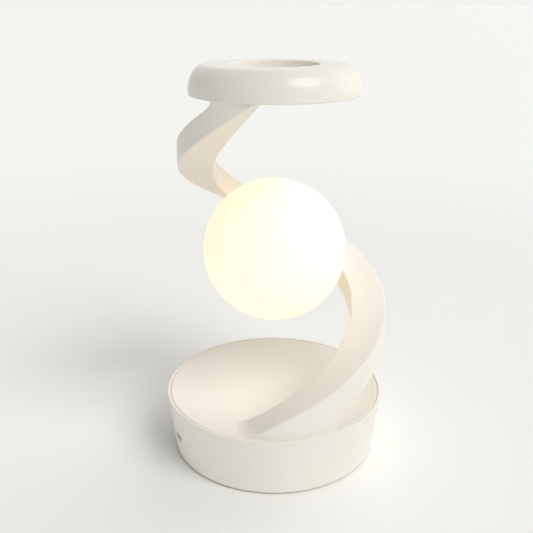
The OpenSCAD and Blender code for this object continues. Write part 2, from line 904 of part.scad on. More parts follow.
// Turning dish with its boss, its running rib and the pocket for the arm's foot
module turntable_dish() {
    edge = 0.5;
    hub_r = hub_d / 2;
    under = [for (k = [0:6]) hub_r + (rib_r - hub_r) * k / 6];
    top = [for (k = [0:dish_steps]) (dish_r - edge) * (1 - k / dish_steps)];
    pocket_from = arm_start - toe_turn - 0.3;
    pocket_turn = toe_turn + foot_turn + 0.6;
    color("WhiteSmoke")
    difference() {
        union() {
            rotate_extrude()
                polygon(concat(
                    [[0, hub_z], [hub_r, hub_z]],
                    [for (r = under) [r, dish_z(r) - dish_t]],
                    [[rib_r, rib_z], [rib_r + rib_t, rib_z]],
                    [[rib_r + rib_t, dish_z(rib_r + rib_t) - dish_t]],
                    [[dish_r - 0.3, dish_edge_z - dish_t], [dish_r, dish_edge_z - edge]],
                    [for (r = top) [r, dish_z(r)]]
                ));
            rotate([0, 0, pocket_from - 2])
                rotate_extrude(angle = pocket_turn + 4)
                    polygon([
                        [foot_ri - 2, pad_z],
                        [dish_r - 0.8, pad_z],
                        [dish_r - 0.8, dish_edge_z - dish_t + 0.5],
                        [foot_ri - 2, dish_z(foot_ri - 2) - dish_t / 2]
                    ]);
        }
        rotate([0, 0, pocket_from])
            rotate_extrude(angle = pocket_turn)
                translate([foot_ri - fit, seat_z])
                    square([dish_r - foot_ri + 2, rim_z]);
        rotate([0, 0, arm_start + wire_u])
            translate([-slot_w / 2, -slot_w / 2, hub_z - 1])
                cube([hub_r + slot_w / 2 + 1, slot_w, slot_h + 1]);
        place(wire_u, wire_r, pad_z - 1)
            cylinder(d = wire_d, h = pad_t + 2);
        for (u = foot_screw_u)
            place(u, foot_screw_r, pad_z - 1)
                cylinder(d = screw_d + screw_play, h = pad_t + 2);
        around(gear_screw_turns, gear_screw_r)
            translate([0, 0, hub_z - 1])
                cylinder(d = screw_d + screw_play, h = gear_bite + 1.2);
    }
}
// Hollow spindle: a collar on the bearing, a groove for the clip, the gear on top
module spindle() {
    groove = 0.6;
    color("Silver")
    difference() {
        union() {
            translate([0, 0, spindle_low])
                cylinder(d = bearing_bore - 0.02, h = hub_z - spindle_low);
            translate([0, 0, bearing_top])
                cylinder(d = 2 * race_in - 0.4, h = collar_t);
        }
        translate([0, 0, spindle_low - 1])
            cylinder(d = spindle_bore, h = hub_z);
        translate([0, 0, bearing_z - clip_t])
            difference() {
                cylinder(d = bearing_bore + 2, h = clip_t);
                translate([0, 0, -e])
                    cylinder(d = bearing_bore - 2 * groove, h = clip_t + 2 * e);
            }
    }
}
module spindle_clip() {
    groove = 0.6;
    color("DarkSlateGray")
    difference() {
        translate([0, 0, bearing_z - clip_t + 0.05])
            cylinder(d = 2 * race_in - 0.2, h = clip_t - 0.1);
        translate([0, 0, bearing_z - 2])
            cylinder(d = bearing_bore - 2 * groove + 0.1, h = 4);
        translate([0, -bearing_bore * 0.3, bearing_z - 2])
            cube([bearing_bore, bearing_bore * 0.6, 4]);
    }
}
module driven_gear() {
    color("Ivory")
    translate([0, 0, gear_z])
        difference() {
            linear_extrude(gear_t)
                toothed(gear_teeth);
            translate([0, 0, -1])
                cylinder(d = bearing_bore + 0.02, h = gear_t + 2);
            around(gear_screw_turns, gear_screw_r) {
                translate([0, 0, -1])
                    cylinder(d = screw_d + screw_play, h = gear_t + 2);
                translate([0, 0, -1])
                    cylinder(d = head_d + 2 * fit, h = 1 + head_h);
            }
        }
}
module gear_screws() {
    color("Silver")
    around(gear_screw_turns, gear_screw_r)
        translate([0, 0, gear_z + head_h])
            mirror([0, 0, 1])
                screw(screw_d, head_d, head_h, gear_t - head_h + gear_bite);
}

// Spiral arm: a channel that is open towards the globe
module spiral_arm() {
    color("WhiteSmoke")
    difference() {
        swept([for (u = arm_turns) channel_section(u)], arm_turns, channel_caps);
        place(wire_u, wire_r, seat_z - 1)
            cylinder(d = wire_d, h = channel_low(wire_u) - seat_z + 2);
        for (u = foot_screw_u)
            place(u, foot_screw_r, seat_z - 1)
                cylinder(d = screw_d + screw_play, h = foot_bite + 1.2);
        place(top_wire_u, top_mid_r, channel_low(top_wire_u) + 1)
            cylinder(d = wire_d, h = 20);
        for (s = [-1, 1])
            place(top_screw_u, top_mid_r + 5 * s, ring_z - top_screw_reach)
                cylinder(d = screw_d + screw_play, h = 20);
    }
}
module arm_cover_strip() {
    color("Snow")
    difference() {
        swept([for (u = strip_turns) strip_section(u)], strip_turns, [[0, 1, 2, 3]]);
        at_globe()
            cylinder(d = stem_d + 2 * fit, h = face_r + 10);
    }
}
module arm_toe() {
    turns = [for (k = [0:toe_steps]) -toe_gap - (toe_turn - toe_gap) * pow(1 - k / toe_steps, 1.3)];
    color("WhiteSmoke")
    swept([for (u = turns) toe_section(u)], turns, [[for (k = [0:10]) k]]);
}
module arm_foot_screws() {
    color("Silver")
    for (u = foot_screw_u)
        place(u, foot_screw_r, pad_z)
            mirror([0, 0, 1])
                screw(screw_d, head_d, head_h, pad_t + foot_bite);
}
// Wire from the slip ring up the spindle, under the dish, through the arm and into the stem
function channel_path(from, to, r_in) = [
    for (u = [from:lead_step:to]) at(arm_ri(u) + r_in, u, (channel_low(u) + channel_top(u)) / 2)
];
function into_stem(u_side, s) =
    let (
        a = arm_start + globe_u,
        out = [cos(a), sin(a), 0],
        side = [-sin(a), cos(a), 0] * lead_gap * s
    )
    [
        at(lead_in + 1.4, globe_u + 1.8 * s, globe_z + 0.5 * s),
        at(lead_in + 0.6, globe_u + 1.1 * s, globe_z + 0.25 * s),
        [0, 0, globe_z] + out * (lead_in - 0.8) + side,
        [0, 0, globe_z] + out * (stem_end - 1) + side,
        [0, 0, globe_z] + out * (spreader_x + 0.2) + side
    ];
module lamp_lead() {
    a = arm_start + wire_u;
    out = [cos(a), sin(a), 0];
    up = [0, 0, 1];
    rise = [0, 0, channel_low(wire_u) + 1.6];
    along_arm = [-sin(a), cos(a), 0];
    color("Firebrick")
    lead(concat(
        [[0, 0, slip_top + 1]],
        bend([0, 0, lead_z], up, out, 1.6),
        bend(out * wire_r + up * lead_z, out, up, 1.4),
        bend(out * wire_r + rise, up, along_arm, 1.2),
        channel_path(wire_u + 6, globe_u - 5, arm_w_mid / 2),
        into_stem(-1, -1)
    ), [1, 0, 0]);
}
module touch_lead() {
    steps = into_stem(1, 1);
    a = arm_start + top_wire_u;
    top = at(top_mid_r, top_wire_u, (channel_low(top_wire_u) + channel_top(top_wire_u)) / 2);
    color("DarkOrange")
    lead(concat(
        [for (k = [len(steps) - 1:-1:0]) steps[k]],
        channel_path(globe_u + 5, top_wire_u - 4, arm_w_mid / 2),
        bend(top, [-sin(a), cos(a), 0], [0, 0, 1], 0.9),
        [[top[0], top[1], ring_z + plate_t + 3], [top[0], top[1], touch_z - 0.05]]
    ), [0, 0, 1]);
}

// Globe and what carries it on the arm
module globe() {
    color("LemonChiffon")
    difference() {
        translate([0, 0, globe_z])
            sphere(r = globe_r, $fn = 128);
        translate([0, 0, globe_z])
            sphere(r = globe_r - globe_t, $fn = 128);
        at_globe()
            cylinder(r = neck_r, h = globe_r + 5);
    }
}
module globe_collar() {
    color("WhiteSmoke")
    at_globe()
        difference() {
            union() {
                translate([0, 0, cap_x])
                    cylinder(r = neck_r - fit, h = cap_t + e);
                translate([0, 0, flange_x])
                    cylinder(r = neck_r + 1.6, h = flange_t);
                translate([0, 0, flange_x])
                    cylinder(r = spacer_r, h = spacer_end - flange_x);
            }
            translate([0, 0, stem_x])
                cylinder(d = stem_d + 0.02, h = globe_r);
            translate([0, 0, cap_x - 1])
                cylinder(d = stem_bore, h = globe_r);
            for (s = [-1, 1])
                translate([0, s * light_screw_r, cap_x - 1])
                    cylinder(d = small_d + screw_play, h = 4);
        }
}
module globe_stem() {
    color("Goldenrod")
    at_globe()
        translate([0, 0, stem_x])
            difference() {
                cylinder(d = stem_d, h = stem_end - stem_x);
                translate([0, 0, -1])
                    cylinder(d = stem_bore, h = stem_end);
            }
}
module stem_nut() {
    color("Goldenrod")
    at_globe()
        translate([0, 0, nut_x])
            difference() {
                cylinder(d = nut_d, h = nut_t, $fn = 6);
                translate([0, 0, -1])
                    cylinder(d = stem_d + 0.02, h = nut_t + 2);
            }
}
module light_disc(x, t) {
    at_globe()
        translate([0, 0, x])
            difference() {
                cylinder(r = neck_r - 1, h = t);
                translate([0, 0, -1])
                    cylinder(d = stem_bore, h = t + 2);
                for (s = [-1, 1])
                    translate([0, s * light_screw_r, -1])
                        cylinder(d = small_d + screw_play, h = t + 2);
            }
}
module heat_spreader() {
    color("LightSteelBlue")
    light_disc(spreader_x, spreader_t);
}
module light_board() {
    color("White")
    light_disc(light_x, chip_board_t);
}
module light_chips() {
    color("Khaki")
    at_globe()
        around(chip_turns, chip_r)
            translate([-chip / 2, -chip / 2, light_x - 0.8])
                cube([chip, chip, 0.8]);
}
module light_screws() {
    color("Silver")
    at_globe()
        for (s = [-1, 1])
            translate([0, s * light_screw_r, light_x])
                mirror([0, 0, 1])
                    screw(small_d, small_head_d, small_head_h, chip_board_t + spreader_t + 2.6);
}

// Top ring: a shell that is open below, closed by a plate
module ring_shell() {
    w = ring_t;
    cr = ring_r - crown_w;
    cz = ring_top - crown_up;
    crown = [for (k = [0:crown_steps]) 90 * k / crown_steps];
    color("WhiteSmoke")
    difference() {
        union() {
            rotate_extrude()
                polygon(concat(
                    [[ring_r - w, ring_z], [ring_r - ring_edge, ring_z]],
                    [[ring_r - 0.3 * ring_edge, ring_z + 0.3 * ring_edge]],
                    [[ring_r, ring_z + ring_edge]],
                    [for (a = crown) [cr + crown_w * cos(a), cz + crown_up * sin(a)]],
                    [for (a = [90:15:180])
                        [hole_r + hole_edge + hole_edge * cos(a),
                         ring_top - hole_edge + hole_edge * sin(a)]
                    ],
                    [[hole_r, ring_z + ring_edge]],
                    [[hole_r + 0.3 * ring_edge, ring_z + 0.3 * ring_edge]],
                    [[hole_r + ring_edge, ring_z], [hole_r + w, ring_z]],
                    [[hole_r + w, ring_top - w]],
                    [for (a = [90:-15:0])
                        [cr + (crown_w - w) * cos(a), cz + (crown_up - w) * sin(a)]
                    ]
                ));
            around(ring_screw_turns, boss_r)
                translate([0, 0, ring_z + plate_t])
                    cylinder(d = screw_d + 2.6, h = cz + (crown_up - w) * 0.9 - ring_z - plate_t);
        }
        around(ring_screw_turns, boss_r)
            translate([0, 0, ring_z])
                cylinder(d = screw_d + screw_play, h = plate_t + 6);
    }
}
module ring_bottom_plate() {
    color("Gainsboro")
    difference() {
        translate([0, 0, ring_z])
            cylinder(r = ring_r - ring_t - fit, h = plate_t);
        translate([0, 0, ring_z - 1])
            cylinder(r = hole_r + ring_t + fit, h = plate_t + 2);
        around(ring_screw_turns, boss_r) {
            translate([0, 0, ring_z - 1])
                cylinder(d = screw_d + screw_play, h = plate_t + 2);
            translate([0, 0, ring_z - 1])
                cylinder(d = head_d + 2 * fit, h = 1 + plate_t - 0.8);
        }
        place(top_wire_u, top_mid_r, ring_z - 1)
            cylinder(d = wire_d, h = plate_t + 2);
        for (s = [-1, 1])
            place(top_screw_u, top_mid_r + 5 * s, ring_z - 1)
                cylinder(d = screw_d + screw_play, h = plate_t + 2);
    }
}
module touch_plate() {
    color("Goldenrod")
    translate([0, 0, touch_z])
        rotate_extrude()
            translate([hole_r + ring_t + 1, 0])
                square([boss_r - hole_r - ring_t - 4.4, touch_t]);
}
module ring_screws() {
    color("Silver")
    around(ring_screw_turns, boss_r)
        translate([0, 0, ring_z + plate_t - 0.8])
            mirror([0, 0, 1])
                screw(screw_d, head_d, plate_t - 1, 6);
}
module arm_top_screws() {
    color("Silver")
    for (s = [-1, 1])
        place(top_screw_u, top_mid_r + 5 * s, ring_z + plate_t)
            screw(screw_d, head_d, head_h, plate_t + top_screw_reach - 0.3);
}

base_shell();
bottom_cover();
rubber_feet();
cover_screws();
ballast_weights();
usb_socket();
usb_tongue();
charge_indicator();
control_board();
board_parts();
board_screws();
gear_motor();
motor_screws();
motor_lead();
motor_shaft();
drive_pinion();
bearing_outer_ring();
bearing_balls();
bearing_inner_ring();
glide_ring();
slip_ring_body();
slip_ring_lead();
slip_ring_rotor();
turntable_dish();
spindle();
spindle_clip();
driven_gear();
gear_screws();
spiral_arm();
arm_cover_strip();
arm_toe();
arm_foot_screws();
lamp_lead();
globe();
globe_collar();
globe_stem();
stem_nut();
heat_spreader();
light_board();
light_chips();
light_screws();
ring_shell();
ring_bottom_plate();
touch_plate();
ring_screws();
arm_top_screws();
touch_lead();
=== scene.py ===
import json
import math

import bmesh
import bpy
from mathutils import Matrix, Vector


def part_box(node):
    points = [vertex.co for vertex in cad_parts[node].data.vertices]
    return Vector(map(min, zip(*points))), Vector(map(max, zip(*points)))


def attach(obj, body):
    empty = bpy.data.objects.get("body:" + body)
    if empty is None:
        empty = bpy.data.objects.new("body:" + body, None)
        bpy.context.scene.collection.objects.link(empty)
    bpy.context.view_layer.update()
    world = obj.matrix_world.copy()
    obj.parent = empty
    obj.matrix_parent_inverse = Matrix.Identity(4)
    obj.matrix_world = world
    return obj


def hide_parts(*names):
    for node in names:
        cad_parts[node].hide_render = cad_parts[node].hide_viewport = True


bl_info = {
    "name": "Rotating moon lamp",
    "version": (1, 0, 0),
    "blender": (4, 5, 0),
    "location": "3D View > Sidebar > Moon lamp",
    "description": "Dresses a table lamp with a glowing globe inside a spiral arm on a turning dish",
    "category": "Object",
}

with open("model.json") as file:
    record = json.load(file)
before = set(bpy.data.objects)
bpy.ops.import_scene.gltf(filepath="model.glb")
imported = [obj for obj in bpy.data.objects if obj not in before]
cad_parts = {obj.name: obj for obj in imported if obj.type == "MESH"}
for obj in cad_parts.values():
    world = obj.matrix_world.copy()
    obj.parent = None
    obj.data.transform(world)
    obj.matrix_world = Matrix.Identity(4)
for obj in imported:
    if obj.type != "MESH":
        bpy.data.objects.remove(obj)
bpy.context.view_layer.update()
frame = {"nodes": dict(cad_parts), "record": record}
drum_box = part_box("base_shell")
dish_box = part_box("turntable_dish")
globe_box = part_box("globe")
ring_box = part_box("ring_shell")
glide_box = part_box("glide_ring")


# Small distances, in metres
WELD = 1e-6           # points closer than this become one
DISH_DROP = 0.0001    # from the rim down to the dish's edge
RIB_GAP = 0.0003      # between the running rib and the glide ring
FOOT_GAP = 0.0013     # from the dish's edge in to the foot's outer face
FLARE_GAP = 0.0002    # from the dish's edge in to the end of the foot's flare
FOOT_EXTRA = 0.0001   # how far the foot stands in past the arm's inner face
SINK = 0.00005        # how far the edges of the toe and of the flare lie below the dish's face
RING_BITE = 0.0008    # how far the arm's top end reaches into the ring
SOCKET_GAP = 0.00015  # round the socket in the drum's wall
DOT_GAP = 0.00003     # round the indicator in the drum's wall
PAD_RADIUS = 0.005    # radius of a rubber foot
SCREW_HEAD = 0.0022   # radius of a screw's head
RING_SCREW_IN = 0.0056  # from the ring's inner wall to its screws

SHARP_FROM = math.radians(35)  # edges that turn by more stay sharp
OUTLINE, GROOVE, BROW, FLARE = range(4)  # kinds of points in the arm's section


def metres(name, description, default):
    """A length in metres."""
    return bpy.props.FloatProperty(
        name=name, description=description, default=default, unit="LENGTH", subtype="DISTANCE", precision=5)


def mm(name, description, default):
    """A length whose default is given in millimetres."""
    return metres(name, description, default / 1000)


def angle(name, description, default):
    """An angle whose default is given in degrees."""
    return bpy.props.FloatProperty(
        name=name, description=description, default=math.radians(default), unit="ROTATION", subtype="ANGLE")


def tint(name, description, default):
    return bpy.props.FloatVectorProperty(
        name=name, description=description, default=default, size=3, min=0, max=1, subtype="COLOR")


def amount(name, description, default):
    return bpy.props.FloatProperty(name=name, description=description, default=default, min=0)


class MOONLAMP_PG_drum(bpy.types.PropertyGroup):
    """Sizes of the base drum and of the dish in it."""
    rim_radius: metres("Rim radius", "Radius over the rim", drum_box[1].x)
    rim_height: metres("Rim height", "Height of the rim above the floor", drum_box[1].z)
    wall_foot: metres("Wall foot", "Gap between the wall and the floor", drum_box[0].z)
    taper: mm("Taper", "How far the wall leans in towards the floor", 4.2)
    lip: mm("Lip", "Thickness of the wall, seen as the rim lip", 1.6)
    lip_edge: mm("Lip edge", "Rounding of the rim and the bottom edge", 0.4)
    shelf_radius: mm("Shelf radius", "Inner radius of the shelf under the dish", 48.5)
    shelf_height: metres("Shelf height", "Height of the shelf's top", glide_box[0].z)
    shelf_depth: mm("Shelf depth", "Thickness of the shelf", 2)
    dish_radius: metres("Dish radius", "Radius of the turning dish", dish_box[1].x)
    dish_edge: metres("Dish edge height", "Height of the dish at its edge", drum_box[1].z - DISH_DROP)
    dish_depth: mm("Dish depth", "How far the middle lies below the edge", 7.4)
    dish_wall: mm("Dish thickness", "Thickness of the dish", 2.2)
    dish_round: mm("Dish rounding", "Rounding of the dish's edge", 0.5)
    dish_draft: mm("Dish draft", "How far the dish's edge leans in towards its underside", 0.3)
    hub_radius: mm("Boss radius", "Radius of the boss under the dish", 22)
    hub_height: metres("Boss height", "Height of the boss's face", dish_box[0].z)
    rib_radius: mm("Rib radius", "Inner radius of the running rib", 53.4)
    rib_width: mm("Rib width", "Width of the running rib", 2)
    rib_foot: metres("Rib foot", "Height of the rib's running face", glide_box[1].z + RIB_GAP)


class MOONLAMP_PG_arm(bpy.types.PropertyGroup):
    """Sizes of the spiral arm."""
    start: angle("Start", "Direction in which the arm leaves the dish", -127.3)
    turn: angle("Turn", "Turn from the start to where the underside meets the ring", 359)
    last: angle("Last turn", "Turn at which the arm ends under the ring", 356)
    lead: mm("Lead", "Height of the top face above the rim at the start", 2.6)
    bow: mm("Bow", "How far the middle of the climb stands above a steady climb", 1.2)
    width_foot: mm("Foot width", "Width at the foot", 19.3)
    width_mid: mm("Middle width", "Width halfway", 18.2)
    width_top: mm("Top width", "Width at the ring", 20.8)
    thick_foot: mm("Foot thickness", "Thickness at the foot", 16.6)
    thick_top: mm("Top thickness", "Thickness at the ring", 12.5)
    edge: mm("Edge", "Rounding of the long edges", 1)
    draw_from: angle("Draw from", "Turn after which the arm draws in to the ring", 209)
    draw_soft: angle("Draw softness", "Softness of that change", 80)
    foot_turn: angle("Foot turn", "Turn that the solid foot covers", 46)
    foot_blend: angle("Foot blend", "Turn over which the arm widens from the foot", 110)
    swell: mm("Swell", "How far the outer face swells out behind the foot", 1)
    swell_turn: angle("Swell turn", "Turn over which that swell rises and fades", 200)
    notch: mm("Notch", "Rounding behind the foot", 6)
    toe: mm("Toe", "Height above the dish at which the top face begins to ease into it", 3.6)
    toe_tilt: mm("Toe tilt", "How much lower the toe's outer side lies than its inner side", 2.9)
    tilt_turn: angle("Tilt turn", "Turn over which the top face loses that tilt", 20)
    flare_height: mm("Flare height", "Height of the hollow flare where the foot's outer face meets the dish", 1.3)
    flare_width: mm("Flare width", "How far that flare spreads", 0.5)
    seat_rise: mm("Seat", "Height of the foot's seat above the middle of the dish", 2)
    ring_in: mm("Ring step", "How far the arm's end lies inside the ring's edge", 2.5)
    ring_fillet: mm("Ring fillet", "Rise of the flare between the top face and the ring", 4.5)
    ring_fillet_turn: angle("Ring fillet turn", "Turn over which that flare rises", 9)
    wall: mm("Channel wall", "Wall of the channel", 2.2)
    channel: mm("Channel height", "Height of the channel for the wire", 9.5)
    roof: mm("Top roof", "Extra thickness over the channel under the ring", 3.8)
    roof_from: angle("Roof from", "Turn at which that thickness begins", 312)
    strip: mm("Strip", "Thickness of the inner cover strip", 2)
    seam: mm("Seam", "Gap on each side of the cover strip", 0.04)


class MOONLAMP_PG_globe(bpy.types.PropertyGroup):
    """Sizes and glow of the globe."""
    radius: metres("Radius", "Radius of the globe", (globe_box[1].z - globe_box[0].z) / 2)
    height: metres("Height", "Height of the globe's centre", (globe_box[1].z + globe_box[0].z) / 2)
    wall: mm("Wall", "Thickness of the opal wall", 1.8)
    neck: mm("Neck", "Radius of the neck opening", 10)
    gap: mm("Gap", "Gap between the globe and the arm", 3)
    body_tint: tint("Opal", "Colour of the opal plastic", (0.74, 0.73, 0.665))
    glow_near: tint("Near glow", "Glow on the side of the light board", (1.0, 0.75, 0.39))
    glow_far: tint("Far glow", "Glow on the far side", (1.0, 0.68, 0.44))
    glow: amount("Glow", "Strength of the glow", 0.67)


class MOONLAMP_PG_ring(bpy.types.PropertyGroup):
    """Sizes of the top ring."""
    radius: metres("Radius", "Outer radius", ring_box[1].x)
    hole: mm("Hole", "Radius of the hole", 22.8)
    under: metres("Underside", "Height of the underside", ring_box[0].z)
    top: metres("Top", "Height of the top", ring_box[1].z)
    wall: mm("Wall", "Thickness of the wall", 2)
    crown_width: mm("Crown width", "Width of the rounding on the outer top edge", 9)
    crown_height: mm("Crown height", "Height of that rounding", 13.5)
    hole_edge: mm("Hole edge", "Rounding of the hole's upper edge", 0.9)
    low_edge: mm("Low edge", "Rounding of the bottom edges", 0.9)


class MOONLAMP_PG_finish(bpy.types.PropertyGroup):
    """Colours of the finishes."""
    plastic: tint("Plastic", "Warm white of the mouldings", (0.83, 0.8, 0.735))
    plastic_shade: tint("Plastic shade", "Faint variation of that white", (0.8, 0.768, 0.7))
    inner: tint("Inner plastic", "Covers that face down", (0.74, 0.71, 0.65))
    rubber: tint("Rubber", "Feet", (0.03, 0.03, 0.032))
    dark: tint("Dark plastic", "Parts on the control board and the slip ring's body", (0.018, 0.018, 0.02))
    steel: tint("Steel", "Screws, bearing and motor", (0.74, 0.74, 0.73))


class MOONLAMP_PG_stage(bpy.types.PropertyGroup):
    """Floor and light."""
    floor: tint("Floor", "Colour of the floor", (0.9, 0.895, 0.87))
    # Painted light: the floor is coloured lighter far from the object than near it, so near the object it carries
    # painted shade
    floor_far_painted_light: tint("Far floor, painted light", "Colour of the floor far behind the object", (0.965, 0.965, 0.935))
    backdrop: tint("Backdrop", "Colour behind the floor", (0.89, 0.89, 0.855))
    sky: amount("Sky", "Strength of the even light", 0.39)
    key: amount("Key", "Strength of the broad light from the right front", 1.58)
    side: amount("Side", "Strength of the low light from the right", 0.275)
    front: amount("Front", "Strength of the low light from the front", 0.135)
    back: amount("Back", "Strength of the light from the right back", 1.04)
    pool: amount("Pool", "Strength of the globe's light on the dish, in watts", 0.0014)
    card: amount("Card", "Strength of the low light on the left of the base, in watts", 0.014)
    overhead: amount("Overhead", "How bright the studio looks in reflections, above and in front", 0.34)


def lamp_rule(scene):
    """Values that follow from the lamp's sizes, as a dictionary."""
    arm, drum = scene.moonlamp_arm, scene.moonlamp_drum
    globe, ring = scene.moonlamp_globe, scene.moonlamp_ring
    v = {}
    v["start_height"] = drum.rim_height + arm.lead
    v["rise"] = ring.under + arm.thick_top - v["start_height"]
    v["dish_mid"] = drum.dish_edge - drum.dish_depth
    v["bowl"] = (drum.dish_radius ** 2 + drum.dish_depth ** 2) / (2 * drum.dish_depth)
    v["foot_outer"] = drum.dish_radius - FOOT_GAP
    v["foot_rim"] = drum.dish_radius - FLARE_GAP
    v["foot_inner"] = v["foot_outer"] - arm.width_foot - FOOT_EXTRA
    v["seat"] = v["dish_mid"] + arm.seat_rise

    def turn_at(rate, height):
        return arm.turn * 2 * height / (rate + math.sqrt(rate * rate - 16 * arm.bow * height))

    def soft(d):
        return (d + math.sqrt(d * d + arm.draw_soft ** 2)) / 2

    rate = v["rise"] + 4 * arm.bow
    v["globe_turn"] = turn_at(
        rate - (arm.thick_top - arm.thick_foot) / 2, globe.height - v["start_height"] + arm.thick_foot / 2)
    v["meet_turn"] = turn_at(rate, ring.under - v["start_height"])
    x = v["globe_turn"] / arm.turn
    width = (arm.width_foot * (1 - x) * (1 - 2 * x) + arm.width_mid * 4 * x * (1 - x)
             + arm.width_top * x * (2 * x - 1))
    share = soft(v["globe_turn"] - arm.draw_from) / soft(arm.turn - arm.draw_from)
    top = ring.radius - arm.ring_in
    v["belly"] = (globe.radius + globe.gap + width - top * share) / (1 - share)
    v["draw_rate"] = (v["belly"] - top) / soft(arm.turn - arm.draw_from)
    v["foot_in"] = v["belly"] - v["draw_rate"] * soft(-arm.draw_from) - v["foot_outer"]
    dish_inner = v["dish_mid"] + v["bowl"] - math.sqrt(v["bowl"] ** 2 - v["foot_inner"] ** 2)
    v["climb_rate"] = rate / arm.turn
    v["toe_turn"] = (v["start_height"] - dish_inner + arm.toe) / v["climb_rate"]
    mid = v["foot_outer"] - arm.width_foot / 2
    slope = v["rise"] / (arm.turn * mid)
    long = math.sqrt(1 + slope * slope)
    v["notch_radius"] = mid
    v["notch_run"] = arm.notch * (1 - slope / long)
    x = arm.foot_turn / arm.turn
    climb = v["start_height"] + v["rise"] * x + 4 * arm.bow * x * (1 - x)
    thick = arm.thick_foot + (arm.thick_top - arm.thick_foot) * x
    v["notch_mid"] = climb - thick + slope * arm.notch - arm.notch * long
    return v


def rounded(corners, steps=6):
    """Points of a closed outline whose corners (r, z, radius) are rounded, with a point beside each arc."""
    points = []
    count = len(corners)
    for i, (r, z, radius) in enumerate(corners):
        corner = Vector((r, z))
        if radius <= 0:
            points.append(corner)
            continue
        back = (Vector(corners[i - 1][:2]) - corner).normalized()
        ahead = (Vector(corners[(i + 1) % count][:2]) - corner).normalized()
        half = back.angle(ahead) / 2
        reach = radius / math.tan(half)
        beside = reach + 0.3 * radius
        centre = corner + (back + ahead).normalized() * (radius / math.sin(half))
        points.append(corner + back * beside)
        first = corner + back * reach - centre
        last = corner + ahead * reach - centre
        sweep = first.angle(last)
        for k in range(steps + 1):
            t = k / steps
            points.append(centre + (first * math.sin((1 - t) * sweep) + last * math.sin(t * sweep)) / math.sin(sweep))
        points.append(corner + ahead * beside)
    return points


def piece_from(bm, name):
    """A new object at the origin with this mesh, its doubles merged and its faces turned outwards."""
    bmesh.ops.remove_doubles(bm, verts=bm.verts, dist=WELD)
    bmesh.ops.recalc_face_normals(bm, faces=bm.faces)
    mesh = bpy.data.meshes.new(name)
    bm.to_mesh(mesh)
    bm.free()
    piece = bpy.data.objects.new(name, mesh)
    bpy.context.scene.collection.objects.link(piece)
    return piece


def turned(name, outline, steps, closed=True):
    """A body of revolution about Z from points (r, z)."""
    bm = bmesh.new()
    rings = []
    for k in range(steps):
        a = 2 * math.pi * k / steps
        rings.append([bm.verts.new((r * math.cos(a), r * math.sin(a), z)) for r, z in outline])
    count = len(outline)
    for k in range(steps):
        here, there = rings[k], rings[(k + 1) % steps]
        for i in range(count if closed else count - 1):
            j = (i + 1) % count
            if outline[i][0] == 0 and outline[j][0] == 0:
                continue
            bm.faces.new((here[i], there[i], there[j], here[j]))
    return piece_from(bm, name)


def plain(piece):
    """Bakes the modifiers into the piece's mesh and takes them off."""
    bpy.context.view_layer.update()
    graph = bpy.context.evaluated_depsgraph_get()
    mesh = bpy.data.meshes.new_from_object(piece.evaluated_get(graph))
    old = piece.data
    piece.modifiers.clear()
    piece.data = mesh
    bpy.data.meshes.remove(old)
    mesh.name = piece.name
    bm = bmesh.new()
    bm.from_mesh(mesh)
    bmesh.ops.remove_doubles(bm, verts=bm.verts, dist=WELD)
    bmesh.ops.dissolve_degenerate(bm, edges=bm.edges, dist=WELD)
    bmesh.ops.recalc_face_normals(bm, faces=bm.faces)
    bm.to_mesh(mesh)
    bm.free()
    return piece


def cut(piece, *cutters, crossing=False):
    """Takes the cutters out of the piece. Crossing is for a cutter whose own faces cross."""
    for cutter in cutters:
        step = piece.modifiers.new(cutter.name, "BOOLEAN")
        step.operation = "DIFFERENCE"
        step.solver = "EXACT"
        step.use_self = crossing
        step.object = cutter
    plain(piece)
    for cutter in cutters:
        mesh = cutter.data
        bpy.data.objects.remove(cutter)
        bpy.data.meshes.remove(mesh)


def settle(piece, body, material, slot, *nodes):
    """Gives a finished piece its shading, material and body, and hides the nodes it stands for; the slot is not used.
    """
    if not piece.data.polygons:
        raise RuntimeError(f"{piece.name} has no faces")
    piece.data.shade_smooth()
    piece.data.set_sharp_from_angle(angle=SHARP_FROM)
    piece.data.materials.clear()
    piece.data.materials.append(material)
    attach(piece, body)
    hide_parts(*nodes)


def grow(piece, tree, values):
    """Runs a geometry tree on the piece with inputs given by name, and keeps the plain mesh."""
    step = piece.modifiers.new(tree.name, "NODES")
    step.node_group = tree
    for socket in tree.interface.items_tree:
        if socket.in_out == "INPUT" and socket.name in values:
            step[socket.identifier] = values[socket.name]
    return plain(piece)


def feed(tree, node, inputs):
    """Sets a node's inputs, by name or number: a socket is linked, anything else is a value."""
    for key, value in inputs.items():
        if isinstance(value, bpy.types.NodeSocket):
            tree.links.new(value, node.inputs[key])
        else:
            node.inputs[key].default_value = value


def make(tree, kind, inputs=(), **settings):
    """A new node with its settings and inputs."""
    node = tree.nodes.new(kind)
    for key, value in settings.items():
        setattr(node, key, value)
    feed(tree, node, dict(inputs))
    return node


